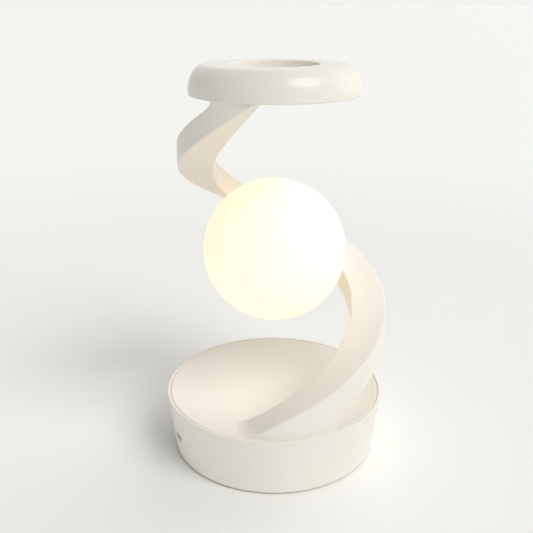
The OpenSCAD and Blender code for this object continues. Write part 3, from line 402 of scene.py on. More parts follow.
class Term:
    """A number in a node tree. Sums and products of terms become Math nodes."""

    def __init__(self, tree, socket):
        self.tree = tree
        self.socket = socket

    def math(self, operation, *values):
        node = self.tree.nodes.new("ShaderNodeMath")
        node.operation = operation
        for socket, value in zip(node.inputs, values):
            if isinstance(value, Term):
                self.tree.links.new(value.socket, socket)
            else:
                socket.default_value = value
        return Term(self.tree, node.outputs[0])

    def __add__(self, other):
        return self.math("ADD", self, other)

    def __sub__(self, other):
        return self.math("SUBTRACT", self, other)

    def __rsub__(self, other):
        return self.math("SUBTRACT", other, self)

    def __mul__(self, other):
        return self.math("MULTIPLY", self, other)

    def __rmul__(self, other):
        return self.math("MULTIPLY", other, self)

    def __truediv__(self, other):
        return self.math("DIVIDE", self, other)

    def least(self, other):
        return self.math("MINIMUM", self, other)

    def most(self, other):
        return self.math("MAXIMUM", self, other)

    def root(self):
        return self.math("SQRT", self)

    def power(self, exponent):
        return self.math("POWER", self, exponent)

    def size(self):
        return self.math("ABSOLUTE", self)

    def cos(self):
        return self.math("COSINE", self)

    def sin(self):
        return self.math("SINE", self)

    def floor(self):
        return self.math("FLOOR", self)

    def below(self, other):
        return self.math("LESS_THAN", self, other)

    def unit(self):
        return self.most(0.0).least(1.0)

    def ease(self):
        t = self.unit()
        return t * t * (3 - 2 * t)

    def towards(self, other, t):
        return self + (other - self) * t


def vector(tree, **parts):
    """A vector from terms named X, Y and Z."""
    return make(tree, "ShaderNodeCombineXYZ", {axis: part.socket for axis, part in parts.items()}).outputs[0]


def geometry_tree(name, numbers, geometry_in, geometry_out):
    """An empty geometry tree with named inputs; returns it with its input node and its output socket."""
    tree = bpy.data.node_groups.new(name, "GeometryNodeTree")
    tree.interface.new_socket(geometry_in, in_out="INPUT", socket_type="NodeSocketGeometry")
    for number, kind in numbers:
        tree.interface.new_socket(number, in_out="INPUT", socket_type=kind)
    tree.interface.new_socket("Material", in_out="INPUT", socket_type="NodeSocketMaterial")
    tree.interface.new_socket(geometry_out, in_out="OUTPUT", socket_type="NodeSocketGeometry")
    entry = tree.nodes.new("NodeGroupInput")
    realize = make(tree, "GeometryNodeRealizeInstances")
    paint = make(tree, "GeometryNodeSetMaterial", {
        "Geometry": realize.outputs[0], "Material": entry.outputs["Material"]})
    tree.links.new(paint.outputs[0], tree.nodes.new("NodeGroupOutput").inputs[0])
    return tree, entry, realize.inputs[0]


BAND_LENGTHS = (
    "Start Height", "Rise", "Bow", "Foot Width", "Middle Width", "Top Width", "Foot Thickness",
    "Top Thickness", "Belly Radius", "Draw Rate", "Foot In", "Foot Outer", "Foot Inner", "Seat",
    "Ring Height", "Edge", "Dish Middle", "Bowl Radius", "Toe", "Notch", "Notch Radius", "Notch Run",
    "Notch Middle", "Ring Fillet", "Channel Wall", "Channel Height", "Top Roof", "Groove Depth", "Seam",
    "Foot Rim", "Climb Rate", "Toe Tilt", "Flare Height", "Flare Width", "Swell")
BAND_TURNS = (
    "Start", "First", "Foot Start", "Last", "Turn", "Draw From", "Draw Softness", "Foot Turn", "Foot Blend",
    "Meet Turn", "Notch Turn", "Roof From", "Fillet Turn", "Tilt Turn", "Swell Turn")
BAND_COUNTS = ("Toe Rows", "Foot Rows", "Notch Rows", "Arm Rows")


def spiral_band_tree():
    """Sweeps a section along the arm's rule. Its points hold (across, down, angle) and their kind."""
    numbers = [(n, "NodeSocketFloat") for n in BAND_LENGTHS + BAND_TURNS]
    numbers += [(n, "NodeSocketInt") for n in BAND_COUNTS]
    tree, entry, end = geometry_tree("Spiral band", numbers, "Section", "Band")
    section = entry.outputs["Section"]
    fade, hair, least_edge, brow_gap = 0.0005, 0.0001, 0.00003, 0.0003  # metres
    roof_blend, flare_fade, closed_turn, foot_slack = math.radians(14), 0.05, 0.004, 0.00005  # radians
    toe_power, blend_power = 1.4, 1.2  # how the toe's rows close up, and how the arm widens from the foot

    def g(name):
        return Term(tree, entry.outputs[name])

    size = make(tree, "GeometryNodeAttributeDomainSize", {0: section})
    points = Term(tree, size.outputs["Point Count"])
    rows = g("Toe Rows") + g("Foot Rows") + g("Notch Rows") + g("Arm Rows") + 3
    grid = make(tree, "GeometryNodeMeshGrid", {"Vertices X": (points + 1).socket, "Vertices Y": rows.socket})
    index = Term(tree, make(tree, "GeometryNodeInputIndex").outputs[0])
    column = ((index + 0.5) / rows).floor()
    row = index - column * rows
    column = column - points * (points - 0.5).below(column)

    def sample(data_type, value):
        inputs = {"Geometry": section, "Value": value, "Index": column.socket}
        return make(tree, "GeometryNodeSampleIndex", inputs, data_type=data_type, domain="POINT").outputs[0]

    here = make(tree, "GeometryNodeInputPosition").outputs[0]
    split = make(tree, "ShaderNodeSeparateXYZ", {0: sample("FLOAT_VECTOR", here)})
    across, down, lean = (Term(tree, s) for s in split.outputs)
    named = make(tree, "GeometryNodeInputNamedAttribute", {"Name": "kind"}, data_type="FLOAT")
    kind = Term(tree, sample("FLOAT", named.outputs["Attribute"]))
    groove, brow, flare = ((kind - k).size().below(0.5) for k in (GROOVE, BROW, FLARE))

    # Turn of each row: close together towards the end of the toe and in the notch, even along the rest
    step = row - 1
    before = 1 - (step / g("Toe Rows")).unit()
    step = step - g("Toe Rows")
    in_notch = ((step - g("Foot Rows")) / g("Notch Rows")).unit()
    u = (g("Foot Start") - (g("Foot Start") - g("First")) * before.power(toe_power)
         + (step / g("Foot Rows")).unit() * (g("Foot Turn") - g("Foot Start"))
         + in_notch * in_notch * g("Notch Turn")
         + ((step - g("Foot Rows") - g("Notch Rows")) / g("Arm Rows")).unit()
         * (g("Last") - g("Foot Turn") - g("Notch Turn")))
    on_arm = u.most(0.0)
    x = on_arm / g("Turn")
    in_foot = u.below(g("Foot Turn") + foot_slack)

    # Width, thickness, climb and radii
    width = (g("Foot Width") * (1 - x) * (1 - 2 * x) + g("Middle Width") * 4 * x * (1 - x)
             + g("Top Width") * x * (2 * x - 1))
    thick = g("Foot Thickness") + (g("Top Thickness") - g("Foot Thickness")) * x
    climb = g("Start Height") + g("Rise") * x + 4 * g("Bow") * x * (1 - x)
    drawn = on_arm - g("Draw From")
    soft = (drawn + (drawn * drawn + g("Draw Softness") * g("Draw Softness")).root()) / 2
    outer = (g("Belly Radius") - g("Draw Rate") * soft
             - g("Foot In") * (1 - on_arm / g("Foot Blend")).most(0.0).power(blend_power))
    inner = outer - width
    outer = outer + g("Swell") * ((on_arm / g("Swell Turn")).unit() * math.pi).sin().power(2)
    near_ring = ((u - g("Meet Turn")) / g("Fillet Turn") + 1).unit()
    flared = climb + g("Ring Fillet") * near_ring * near_ring
    top = flared.least(g("Ring Height"))

    # Underside: down to the seat in the foot, an arc in the notch, then even with the top face
    along = (u - g("Foot Turn")) * g("Notch Radius")
    bow = along - g("Notch")
    arc = g("Notch Middle") + (g("Notch") * g("Notch") - bow * bow).most(0.0).root()
    free = arc.towards(climb - thick, g("Notch Run").below(along))
    low = free.towards(g("Seat"), in_foot)
    low_inner = inner.towards(g("Foot Inner"), in_foot)

    # Top face: even across the arm, and eased into the dish along the toe
    def dish(r):
        return g("Dish Middle") + g("Bowl Radius") - (g("Bowl Radius") * g("Bowl Radius") - r * r).root()

    tilt = g("Toe Tilt") * (1 - u / g("Tilt Turn")).unit().power(2)

    def above_dish(r):
        outwards = (r - g("Foot Inner")) / (g("Foot Outer") - g("Foot Inner"))
        drop = top + g("Climb Rate") * u.least(0.0) - dish(r) - tilt * outwards
        eased = (drop + g("Toe")).most(0.0).least(2 * g("Toe"))
        lift = eased * eased / (4 * g("Toe")) + (drop - g("Toe")).most(0.0)
        return lift - SINK * (1 - lift / fade).unit()

    # Rounded outline, less where the band is thin; the brow keeps the sides upright above the notch
    edge = g("Edge").least(above_dish(g("Foot Outer")) * 0.4).least((top - low) * 0.28).most(least_edge)
    outer_top = dish(g("Foot Outer")) + above_dish(g("Foot Outer"))
    past_edge = 1.2 * edge
    brow_z = (low.most(g("Notch Middle")) + past_edge).least(outer_top - past_edge)
    lean_in = (brow_z - low) / (brow_z - dish(g("Foot Outer"))) * in_foot
    foot_face = outer.least(g("Foot Rim") - g("Flare Width"))
    low_outer = outer + (foot_face - outer) * lean_in
    meets = ((flared - g("Ring Height")) / fade + 1).unit()
    round_by = (edge * (1 - meets) + hair * meets).towards(edge, down)
    wide = outer.towards(low_outer, down) - round_by
    slim = inner.towards(low_inner, down) + round_by
    r = wide.towards(slim, across) + round_by * lean.cos()
    z = (dish(r) + above_dish(r) - round_by).towards(low + round_by, down) + round_by * lean.sin()

    # Channel for the wire, open towards the globe and closed in the toe
    inner_top = dish(g("Foot Inner")) + above_dish(g("Foot Inner"))
    channel_top = climb.least(g("Ring Height")) + inner_top - top
    tall = channel_top - low
    thicker = g("Top Roof") * ((u - g("Roof From")) / roof_blend).ease()
    roof = (g("Channel Wall") + thicker).least(tall * 0.55)
    room = g("Channel Height").least(tall - roof - g("Channel Wall").least(tall * 0.3))
    groove_low = channel_top - roof - room
    groove_z = (channel_top - roof - g("Seam")).towards(groove_low + g("Seam"), down)

    def inner_face(height):
        return inner.towards(low_inner, ((brow_z - height) / (brow_z - low)).unit())

    lip = inner_face(groove_z)
    is_bar = (hair - g("Groove Depth")).below(0.0)
    back = (outer - g("Channel Wall")).towards(lip + g("Groove Depth"), is_bar)
    back = back.towards(lip, u.below(closed_turn))
    r = r.towards(lip.towards(back, across), groove)
    z = z.towards(groove_z, groove)
    brow_in = brow_z.least(groove_low - ((groove_low - low) * 0.05).least(brow_gap))
    r = r.towards(outer.towards(inner_face(brow_in), across), brow)
    brow_out = brow_z + lean * (outer_top - past_edge - brow_z).most(0.0)
    z = z.towards(brow_out.towards(brow_in, across), brow)

    # Flare between the foot's outer face and the dish; behind the foot its points lie on the lower edge
    flare_by = g("Flare Height").least((brow_z - dish(g("Foot Outer"))) * 0.5).most(0.0)
    flare_by = flare_by * ((g("Foot Turn") - u) / flare_fade).unit()
    spread = g("Flare Width") * flare_by / g("Flare Height")
    flare_r = foot_face + spread * (1 - lean.cos())
    flare_z = dish(foot_face + spread) - SINK + flare_by * (1 - lean.sin())
    r = r.towards(low_outer.towards(flare_r, in_foot), flare)
    z = z.towards((low + edge).towards(flare_z, in_foot), flare)

    # The first and the last row close the ends
    at_end = row.below(0.5).most((rows - 1.5 - row).below(0.0))
    mid_r = ((outer + inner) / 2).towards(inner + g("Groove Depth") / 2, is_bar)
    mid_z = (low * 0.6 + inner_top * 0.4).towards(groove_low + room / 2, is_bar)
    r = r.towards(mid_r, at_end)
    z = z.towards(mid_z, at_end)
    turn = g("Start") + u
    move = make(tree, "GeometryNodeSetPosition", {
        "Geometry": grid.outputs["Mesh"], "Position": vector(tree, X=r * turn.cos(), Y=r * turn.sin(), Z=z)})
    merge = make(tree, "GeometryNodeMergeByDistance", {"Geometry": move.outputs[0], "Distance": WELD})
    tree.links.new(merge.outputs[0], end)
    return tree


def copies_tree():
    """Puts copies of a piece round a circle."""
    numbers = [("Count", "NodeSocketInt"), ("Radius", "NodeSocketFloat"), ("First Turn", "NodeSocketFloat")]
    tree, entry, end = geometry_tree("Copies round a circle", numbers, "Piece", "Copies")
    count, radius, first = (Term(tree, entry.outputs[n]) for n, kind in numbers)
    points = make(tree, "GeometryNodePoints", {"Count": count.socket})
    a = Term(tree, make(tree, "GeometryNodeInputIndex").outputs[0]) / count * (2 * math.pi) + first
    move = make(tree, "GeometryNodeSetPosition", {
        "Geometry": points.outputs[0], "Position": vector(tree, X=radius * a.cos(), Y=radius * a.sin())})
    copy = make(tree, "GeometryNodeInstanceOnPoints", {
        "Points": move.outputs[0], "Instance": entry.outputs["Piece"], "Rotation": vector(tree, Z=a)})
    tree.links.new(copy.outputs[0], end)
    return tree


def shader_group(name, colours, numbers):
    """An empty group that puts out colour, roughness and height; returns it, its inputs and its output node."""
    group = bpy.data.node_groups.new(name, "ShaderNodeTree")
    for way, kind, sockets in (
            ("INPUT", "NodeSocketColor", colours), ("INPUT", "NodeSocketFloat", numbers),
            ("OUTPUT", "NodeSocketColor", ["Color"]), ("OUTPUT", "NodeSocketFloat", ["Roughness", "Height"])):
        for socket in sockets:
            group.interface.new_socket(socket, in_out=way, socket_type=kind)
    return group, group.nodes.new("NodeGroupInput").outputs, group.nodes.new("NodeGroupOutput")


def mixed(tree, factor, one, other):
    """A colour between two. A Mix node's colour sockets go by number: its number sockets have the same names."""
    return make(tree, "ShaderNodeMix", {0: factor, 6: one, 7: other}, data_type="RGBA").outputs[2]


def moulded_skin():
    """Faint colour drift, uneven gloss and fine texture of a moulded surface."""
    group, given, leave = shader_group(
        "Moulded skin", ["Color", "Shade"], ["Drift Scale", "Grain Scale", "Smoothest", "Roughest"])
    grain_share = 0.35
    where = make(group, "ShaderNodeTexCoord").outputs["Object"]
    drift = make(group, "ShaderNodeTexNoise", {"Vector": where, "Scale": given["Drift Scale"], "Detail": 3})
    spread = make(group, "ShaderNodeMapRange", {"Value": drift.outputs[0], "From Min": 0.3, "From Max": 0.7})
    grain = make(group, "ShaderNodeTexNoise", {"Vector": where, "Scale": given["Grain Scale"], "Detail": 4})
    both = make(group, "ShaderNodeMath", {0: grain.outputs[0], 1: grain_share, 2: spread.outputs[0]},
                operation="MULTIPLY_ADD")
    gloss = make(group, "ShaderNodeMapRange", {
        "Value": both.outputs[0], "From Max": 1 + grain_share,
        "To Min": given["Smoothest"], "To Max": given["Roughest"]})
    feed(group, leave, {
        "Color": mixed(group, spread.outputs[0], given["Color"], given["Shade"]),
        "Roughness": gloss.outputs[0], "Height": grain.outputs[0]})
    return group


def worked_metal():
    """Tool lines, dull patches and uneven gloss of worked metal."""
    group, given, leave = shader_group(
        "Worked metal", ["Color", "Dull Color"], ["Line Scale", "Smoothest", "Roughest"])
    where = make(group, "ShaderNodeTexCoord").outputs["Object"]
    stretch = make(group, "ShaderNodeMapping", {"Vector": where, "Scale": (1, 1, 9)})
    lines = make(group, "ShaderNodeTexNoise", {
        "Vector": stretch.outputs[0], "Scale": given["Line Scale"], "Detail": 3})
    patches = make(group, "ShaderNodeTexNoise", {"Vector": where, "Scale": 160})
    gloss = make(group, "ShaderNodeMapRange", {
        "Value": lines.outputs[0], "From Min": 0.25, "From Max": 0.75,
        "To Min": given["Smoothest"], "To Max": given["Roughest"]})
    feed(group, leave, {
        "Color": mixed(group, patches.outputs[0], given["Color"], given["Dull Color"]),
        "Roughness": gloss.outputs[0], "Height": lines.outputs[0]})
    return group


def surface(name, group, values, bump, metallic=0.0, specular=0.5):
    """A material whose colour, gloss and bump come from a shared group."""
    made = bpy.data.materials.get(name)
    if made:
        return made
    made = bpy.data.materials.new(name)
    made.use_nodes = True
    tree = made.node_tree
    skin = make(tree, "ShaderNodeGroup", values, node_tree=bpy.data.node_groups[group])
    relief = make(tree, "ShaderNodeBump", {
        "Strength": bump[0], "Distance": bump[1], "Height": skin.outputs["Height"]})
    feed(tree, tree.nodes["Principled BSDF"], {
        "Base Color": skin.outputs["Color"], "Roughness": skin.outputs["Roughness"],
        "Normal": relief.outputs[0], "Metallic": metallic, "Specular IOR Level": specular})
    return made


def moulded(name, colour, shade, gloss, grain=2600, drift=22, bump=(0.06, 0.00006), specular=0.5):
    """A moulded finish; gloss is its least and most roughness, bump its strength and depth."""
    if "Moulded skin" not in bpy.data.node_groups:
        moulded_skin()
    return surface(name, "Moulded skin", {
        "Color": (*colour, 1), "Shade": (*shade, 1), "Drift Scale": drift, "Grain Scale": grain,
        "Smoothest": gloss[0], "Roughest": gloss[1]}, bump, specular=specular)


def metal(name, colour, dull, gloss, lines=900, bump=(0.12, 0.00003)):
    """A metal finish, given in the same way."""
    if "Worked metal" not in bpy.data.node_groups:
        worked_metal()
    return surface(name, "Worked metal", {
        "Color": (*colour, 1), "Dull Color": (*dull, 1), "Line Scale": lines, "Smoothest": gloss[0],
        "Roughest": gloss[1]}, bump, metallic=1.0)


def satin_white(scene):
    f = scene.moonlamp_finish
    return moulded("satin warm white", f.plastic, f.plastic_shade, (0.36, 0.46))


def gloss_white(scene):
    f = scene.moonlamp_finish
    return moulded("gloss warm white", f.plastic, f.plastic_shade, (0.1, 0.16), bump=(0.02, 0.00004),
                   specular=0.3)


def steel(scene):
    c = Vector(scene.moonlamp_finish.steel)
    return metal("plated steel", c, c * 0.85, (0.3, 0.45))


def rubber(scene):
    c = Vector(scene.moonlamp_finish.rubber)
    return moulded("foot rubber", c, c * 1.5, (0.7, 0.9), grain=1500, bump=(0.3, 0.0001), specular=0.3)


def dark_plastic(scene):
    c = Vector(scene.moonlamp_finish.dark)
    return moulded("dark plastic", c, c * 1.6, (0.4, 0.55), specular=0.4)


def inner_plastic(scene):
    c = Vector(scene.moonlamp_finish.inner)
    return moulded("inner plastic", c, c * 0.95, (0.5, 0.65), grain=1800, bump=(0.2, 0.0001))


def paper_floor(stage):
    """Pale paper whose colour grows a little lighter away from the object: painted shade near the object, painted
    light far from it.
    """
    made = moulded("paper floor", stage.floor, Vector(stage.floor) * 0.99, (0.75, 0.9), grain=900, drift=3,
                   bump=(0.05, 0.0001), specular=0.2)
    tree = made.node_tree
    colour = tree.nodes["Principled BSDF"].inputs["Base Color"]
    where = make(tree, "ShaderNodeTexCoord").outputs["Object"]
    away = make(tree, "ShaderNodeVectorMath", {0: where}, operation="LENGTH")
    # Painted shade and light: the colour eases from the floor's own colour near the object to the lighter far colour
    # away from it
    fade = make(tree, "ShaderNodeMapRange", {"Value": away.outputs["Value"], "From Min": 0.3, "From Max": 0.95},
                interpolation_type="SMOOTHSTEP")
    tree.links.new(mixed(tree, fade.outputs[0], colour.links[0].from_socket, (*stage.floor_far_painted_light, 1)), colour)
    return made


def opal_glow(scene, direction):
    """Lit opal plastic: the glow is yellower on the side of the light board and rosier away from it."""
    g = scene.moonlamp_globe
    mottling = 0.006
    made = bpy.data.materials.new("lit opal")
    made.use_nodes = True
    tree = made.node_tree
    where = make(tree, "ShaderNodeTexCoord").outputs["Object"]
    offset = make(tree, "ShaderNodeVectorMath", {0: where, 1: (0, 0, g.height)}, operation="SUBTRACT")
    facing = make(tree, "ShaderNodeVectorMath", {0: offset.outputs[0], 1: direction}, operation="DOT_PRODUCT")
    cloud = make(tree, "ShaderNodeTexNoise", {"Vector": where, "Scale": 45})
    mottle = make(tree, "ShaderNodeMath", {0: cloud.outputs[0], 1: mottling, 2: facing.outputs["Value"]},
                  operation="MULTIPLY_ADD")
    spread = make(tree, "ShaderNodeMapRange", {
        "Value": mottle.outputs[0], "From Min": -g.radius, "From Max": g.radius})
    gloss = make(tree, "ShaderNodeMapRange", {"Value": cloud.outputs[0], "To Min": 0.4, "To Max": 0.5})
    feed(tree, tree.nodes["Principled BSDF"], {
        "Base Color": (*g.body_tint, 1), "Roughness": gloss.outputs[0], "Emission Strength": g.glow,
        "Emission Color": mixed(tree, spread.outputs[0], (*g.glow_far, 1), (*g.glow_near, 1))})
    return made


class MOONLAMP_OT_stage(bpy.types.Operator):
    """Makes the camera, the pale floor and the soft studio light"""
    bl_idname = "moonlamp.stage"
    bl_label = "Stage"

    def execute(self, context):
        scene = context.scene
        s = scene.moonlamp_stage
        scene.view_settings.view_transform = "Standard"
        # The camera stands as it does in the photo
        around, yaw, pitch = (math.radians(a) for a in (-26.3, -0.649, 19.89))
        distance, eye_height = 0.3848, 0.2471
        spin = Matrix.Rotation(around, 3, "Z")

        camera = bpy.data.cameras.new("camera")
        camera.lens = 49.635
        camera.sensor_width = 36
        camera.clip_start = 0.01
        eye = bpy.data.objects.new("camera", camera)
        ahead = spin @ Vector((math.sin(yaw) * math.cos(pitch), math.cos(yaw) * math.cos(pitch), -math.sin(pitch)))
        right = ahead.cross(Vector((0, 0, 1))).normalized()
        up = right.cross(ahead)
        turn = Matrix((right, up, -ahead)).transposed().to_4x4()
        eye.matrix_world = Matrix.Translation(spin @ Vector((0, -distance, eye_height))) @ turn
        scene.collection.objects.link(eye)
        scene.camera = eye

        bm = bmesh.new()
        bmesh.ops.create_circle(bm, cap_ends=True, segments=96, radius=40)
        floor = piece_from(bm, "floor")
        floor.data.materials.append(paper_floor(s))
        self.lights(scene, s, spin)
        self.studio(scene, s, spin)
        return {"FINISHED"}

    def lights(self, scene, s, spin):
        """Four broad suns, a card that lights the left of the base, and the globe's light on the dish."""

        def hang(name, kind, place, mirrored=False, **settings):
            lamp = bpy.data.lights.new(name, kind)
            for key, value in settings.items():
                setattr(lamp, key, value)
            holder = bpy.data.objects.new(name, lamp)
            holder.matrix_world = place
            holder.visible_glossy = mirrored
            scene.collection.objects.link(holder)
            return holder

        def turned_to(direction, axis):
            return direction.to_track_quat(axis, "Y").to_matrix().to_4x4()

        for name, towards, strength, spread, mirrored in (
                ("key light", (0.53, -0.48, 0.7), s.key, 36, True),
                ("side light", (0.93, 0.1, 0.3), s.side, 60, True),
                ("front light", (0.4, -0.85, 0.3), s.front, 60, False),
                ("back light", (0.5, 0.7, 0.5), s.back, 60, False)):
            hang(name, "SUN", turned_to(spin @ Vector(towards), "Z"), mirrored,
                 energy=strength, angle=math.radians(spread), color=(1, 1, 0.995))

        aim = spin @ Vector((0.77, 0.64, 0))
        card_distance, card_height = 0.6, 0.02
        place = Matrix.Translation(Vector((0, 0, card_height)) - aim * card_distance)
        hang("low card", "AREA", place @ turned_to(aim, "-Z"), shape="RECTANGLE", size=0.2, size_y=0.04,
             spread=math.radians(30), energy=s.card)

        under_globe = Matrix.Translation((0, 0, globe_box[0].z - 0.002))
        pool = hang("globe pool", "AREA", under_globe, shape="DISK", size=0.05,
                    spread=math.radians(110), energy=s.pool, color=(1, 0.93, 0.8))
        pool.visible_camera = False

    def studio(self, scene, s, spin):
        """Even light from all sides; the camera and reflections see the pale backdrop instead."""
        world = bpy.data.worlds.new("studio")
        scene.world = world
        world.use_nodes = True
        tree = world.node_tree

        def larger(one, other):
            return make(tree, "ShaderNodeMath", {0: one, 1: other}, operation="MAXIMUM").outputs[0]

        even = tree.nodes["Background"]
        feed(tree, even, {"Color": (1, 1, 0.99, 1), "Strength": s.sky})
        where = make(tree, "ShaderNodeTexCoord").outputs["Generated"]
        backward = make(tree, "ShaderNodeVectorMath", {0: where, 1: spin @ Vector((0, 1, -0.35))},
                        operation="DOT_PRODUCT")
        ceiling = make(tree, "ShaderNodeMapRange", {
            "Value": backward.outputs["Value"], "From Min": -0.6, "From Max": 0.5,
            "To Min": s.overhead, "To Max": 1}, interpolation_type="SMOOTHSTEP")
        ray = make(tree, "ShaderNodeLightPath").outputs
        pale = make(tree, "ShaderNodeBackground", {
            "Color": (*s.backdrop, 1), "Strength": larger(ceiling.outputs[0], ray["Is Camera Ray"])})
        seen = larger(larger(ray["Is Camera Ray"], ray["Is Glossy Ray"]), ray["Is Transmission Ray"])
        mix = make(tree, "ShaderNodeMixShader", {0: seen, 1: even.outputs[0], 2: pale.outputs[0]})
        feed(tree, tree.nodes["World Output"], {"Surface": mix.outputs[0]})


class MOONLAMP_OT_base_drum(bpy.types.Operator):
    """Makes the base drum with its rim lip, socket mouth and indicator hole"""
    bl_idname = "moonlamp.base_drum"
    bl_label = "Base drum"

    def execute(self, context):
        d = context.scene.moonlamp_drum

        def wall(z):
            return d.rim_radius - d.taper * (d.rim_height - z) / (d.rim_height - d.wall_foot)

        # A bead fills the groove beside the dish, a little below the rim
        bead = d.dish_radius + 0.0001
        bead_back, bead_top, bead_low, bead_foot = (
            d.rim_height - drop for drop in (0.00045, 0.0005, 0.0035, 0.004))
        fine, shelf_edge = 0.0001, 0.0003
        low = d.shelf_height - d.shelf_depth
        drum = turned("drum_shell", rounded([
            (wall(d.wall_foot) - d.lip, d.wall_foot, 0),
            (wall(d.wall_foot), d.wall_foot, d.lip_edge),
            (d.rim_radius, d.rim_height, d.lip_edge),
            (d.rim_radius - d.lip, d.rim_height, d.lip_edge * 0.5),
            (d.rim_radius - d.lip, bead_back, fine),
            (bead, bead_top, fine),
            (bead, bead_low, fine),
            (wall(bead_foot) - d.lip, bead_foot, 0),
            (wall(d.shelf_height) - d.lip, d.shelf_height, 0),
            (d.shelf_radius, d.shelf_height, shelf_edge),
            (d.shelf_radius, low, shelf_edge),
            (wall(low) - d.lip, low, 0)]), 288)
        mouth = self.slot_cutter(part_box("usb_socket"), SOCKET_GAP)
        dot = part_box("charge_indicator")
        radius = (dot[1].z - dot[0].z) / 2 + DOT_GAP
        middle = Vector((dot[0].x, (dot[0].y + dot[1].y) / 2, (dot[0].z + dot[1].z) / 2))
        bm = bmesh.new()
        bmesh.ops.create_cone(bm, cap_ends=True, segments=40, radius1=radius, radius2=radius, depth=0.03,
                              matrix=Matrix.Translation(middle) @ Matrix.Rotation(math.pi / 2, 4, "Y"))
        cut(drum, mouth, piece_from(bm, "indicator_hole"))
        settle(drum, "base", satin_white(context.scene), "white_plastic", "base_shell")
        return {"FINISHED"}

    def slot_cutter(self, box, gap):
        """The socket's rounded outline as a bar along X."""
        radius = (box[1].z - box[0].z) / 2 + gap
        half = (box[1].y - box[0].y) / 2 + gap - radius
        mid = (box[0].z + box[1].z) / 2
        outline = []
        for side in (1, -1):
            for k in range(17):
                a = math.pi * (k / 16 - 0.5)
                outline.append((side * (half + radius * math.cos(a)), mid + side * radius * math.sin(a)))
        outside, inside = -0.075, -0.05
        bm = bmesh.new()
        ends = [[bm.verts.new((x, y, z)) for y, z in outline] for x in (outside, inside)]
        count = len(outline)
        for i in range(count):
            j = (i + 1) % count
            bm.faces.new((ends[0][i], ends[0][j], ends[1][j], ends[1][i]))
        bm.faces.new(ends[0])
        bm.faces.new(ends[1])
        return piece_from(bm, "socket_mouth")


class MOONLAMP_OT_turning_dish(bpy.types.Operator):
    """Makes the shallow dish that turns in the rim"""
    bl_idname = "moonlamp.turning_dish"
    bl_label = "Turning dish"

    def execute(self, context):
        d = context.scene.moonlamp_drum
        v = lamp_rule(context.scene)

        def bowl(r):
            return v["dish_mid"] + v["bowl"] - math.sqrt(v["bowl"] ** 2 - r * r)

        e = d.dish_round
        under = [d.hub_radius + (d.rib_radius - d.hub_radius) * k / 8 for k in range(9)]
        rib = d.rib_radius + d.rib_width
        outline = [(0, d.hub_height), (d.hub_radius, d.hub_height)]
        outline += [(r, bowl(r) - d.dish_wall) for r in under]
        outline += [(d.rib_radius, d.rib_foot), (rib, d.rib_foot), (rib, bowl(rib) - d.dish_wall)]
        outline += [(d.dish_radius - d.dish_draft, d.dish_edge - d.dish_wall)]
        outline += [(d.dish_radius, d.dish_edge - e * 1.4)]
        outline += [(d.dish_radius - e + e * math.cos(a), bowl(d.dish_radius - e) - e + e * math.sin(a))
                    for a in (math.pi / 2 * k / 8 for k in range(9))]
        rim = d.dish_radius - e
        outline += [(r, bowl(r)) for r in (rim * (1 - k / 96) for k in range(1, 96))]
        outline.append((0, v["dish_mid"]))
        dish = turned("dish_plate", outline, 256, closed=False)
        settle(dish, "turntable", satin_white(context.scene), "white_plastic", "turntable_dish")
        return {"FINISHED"}


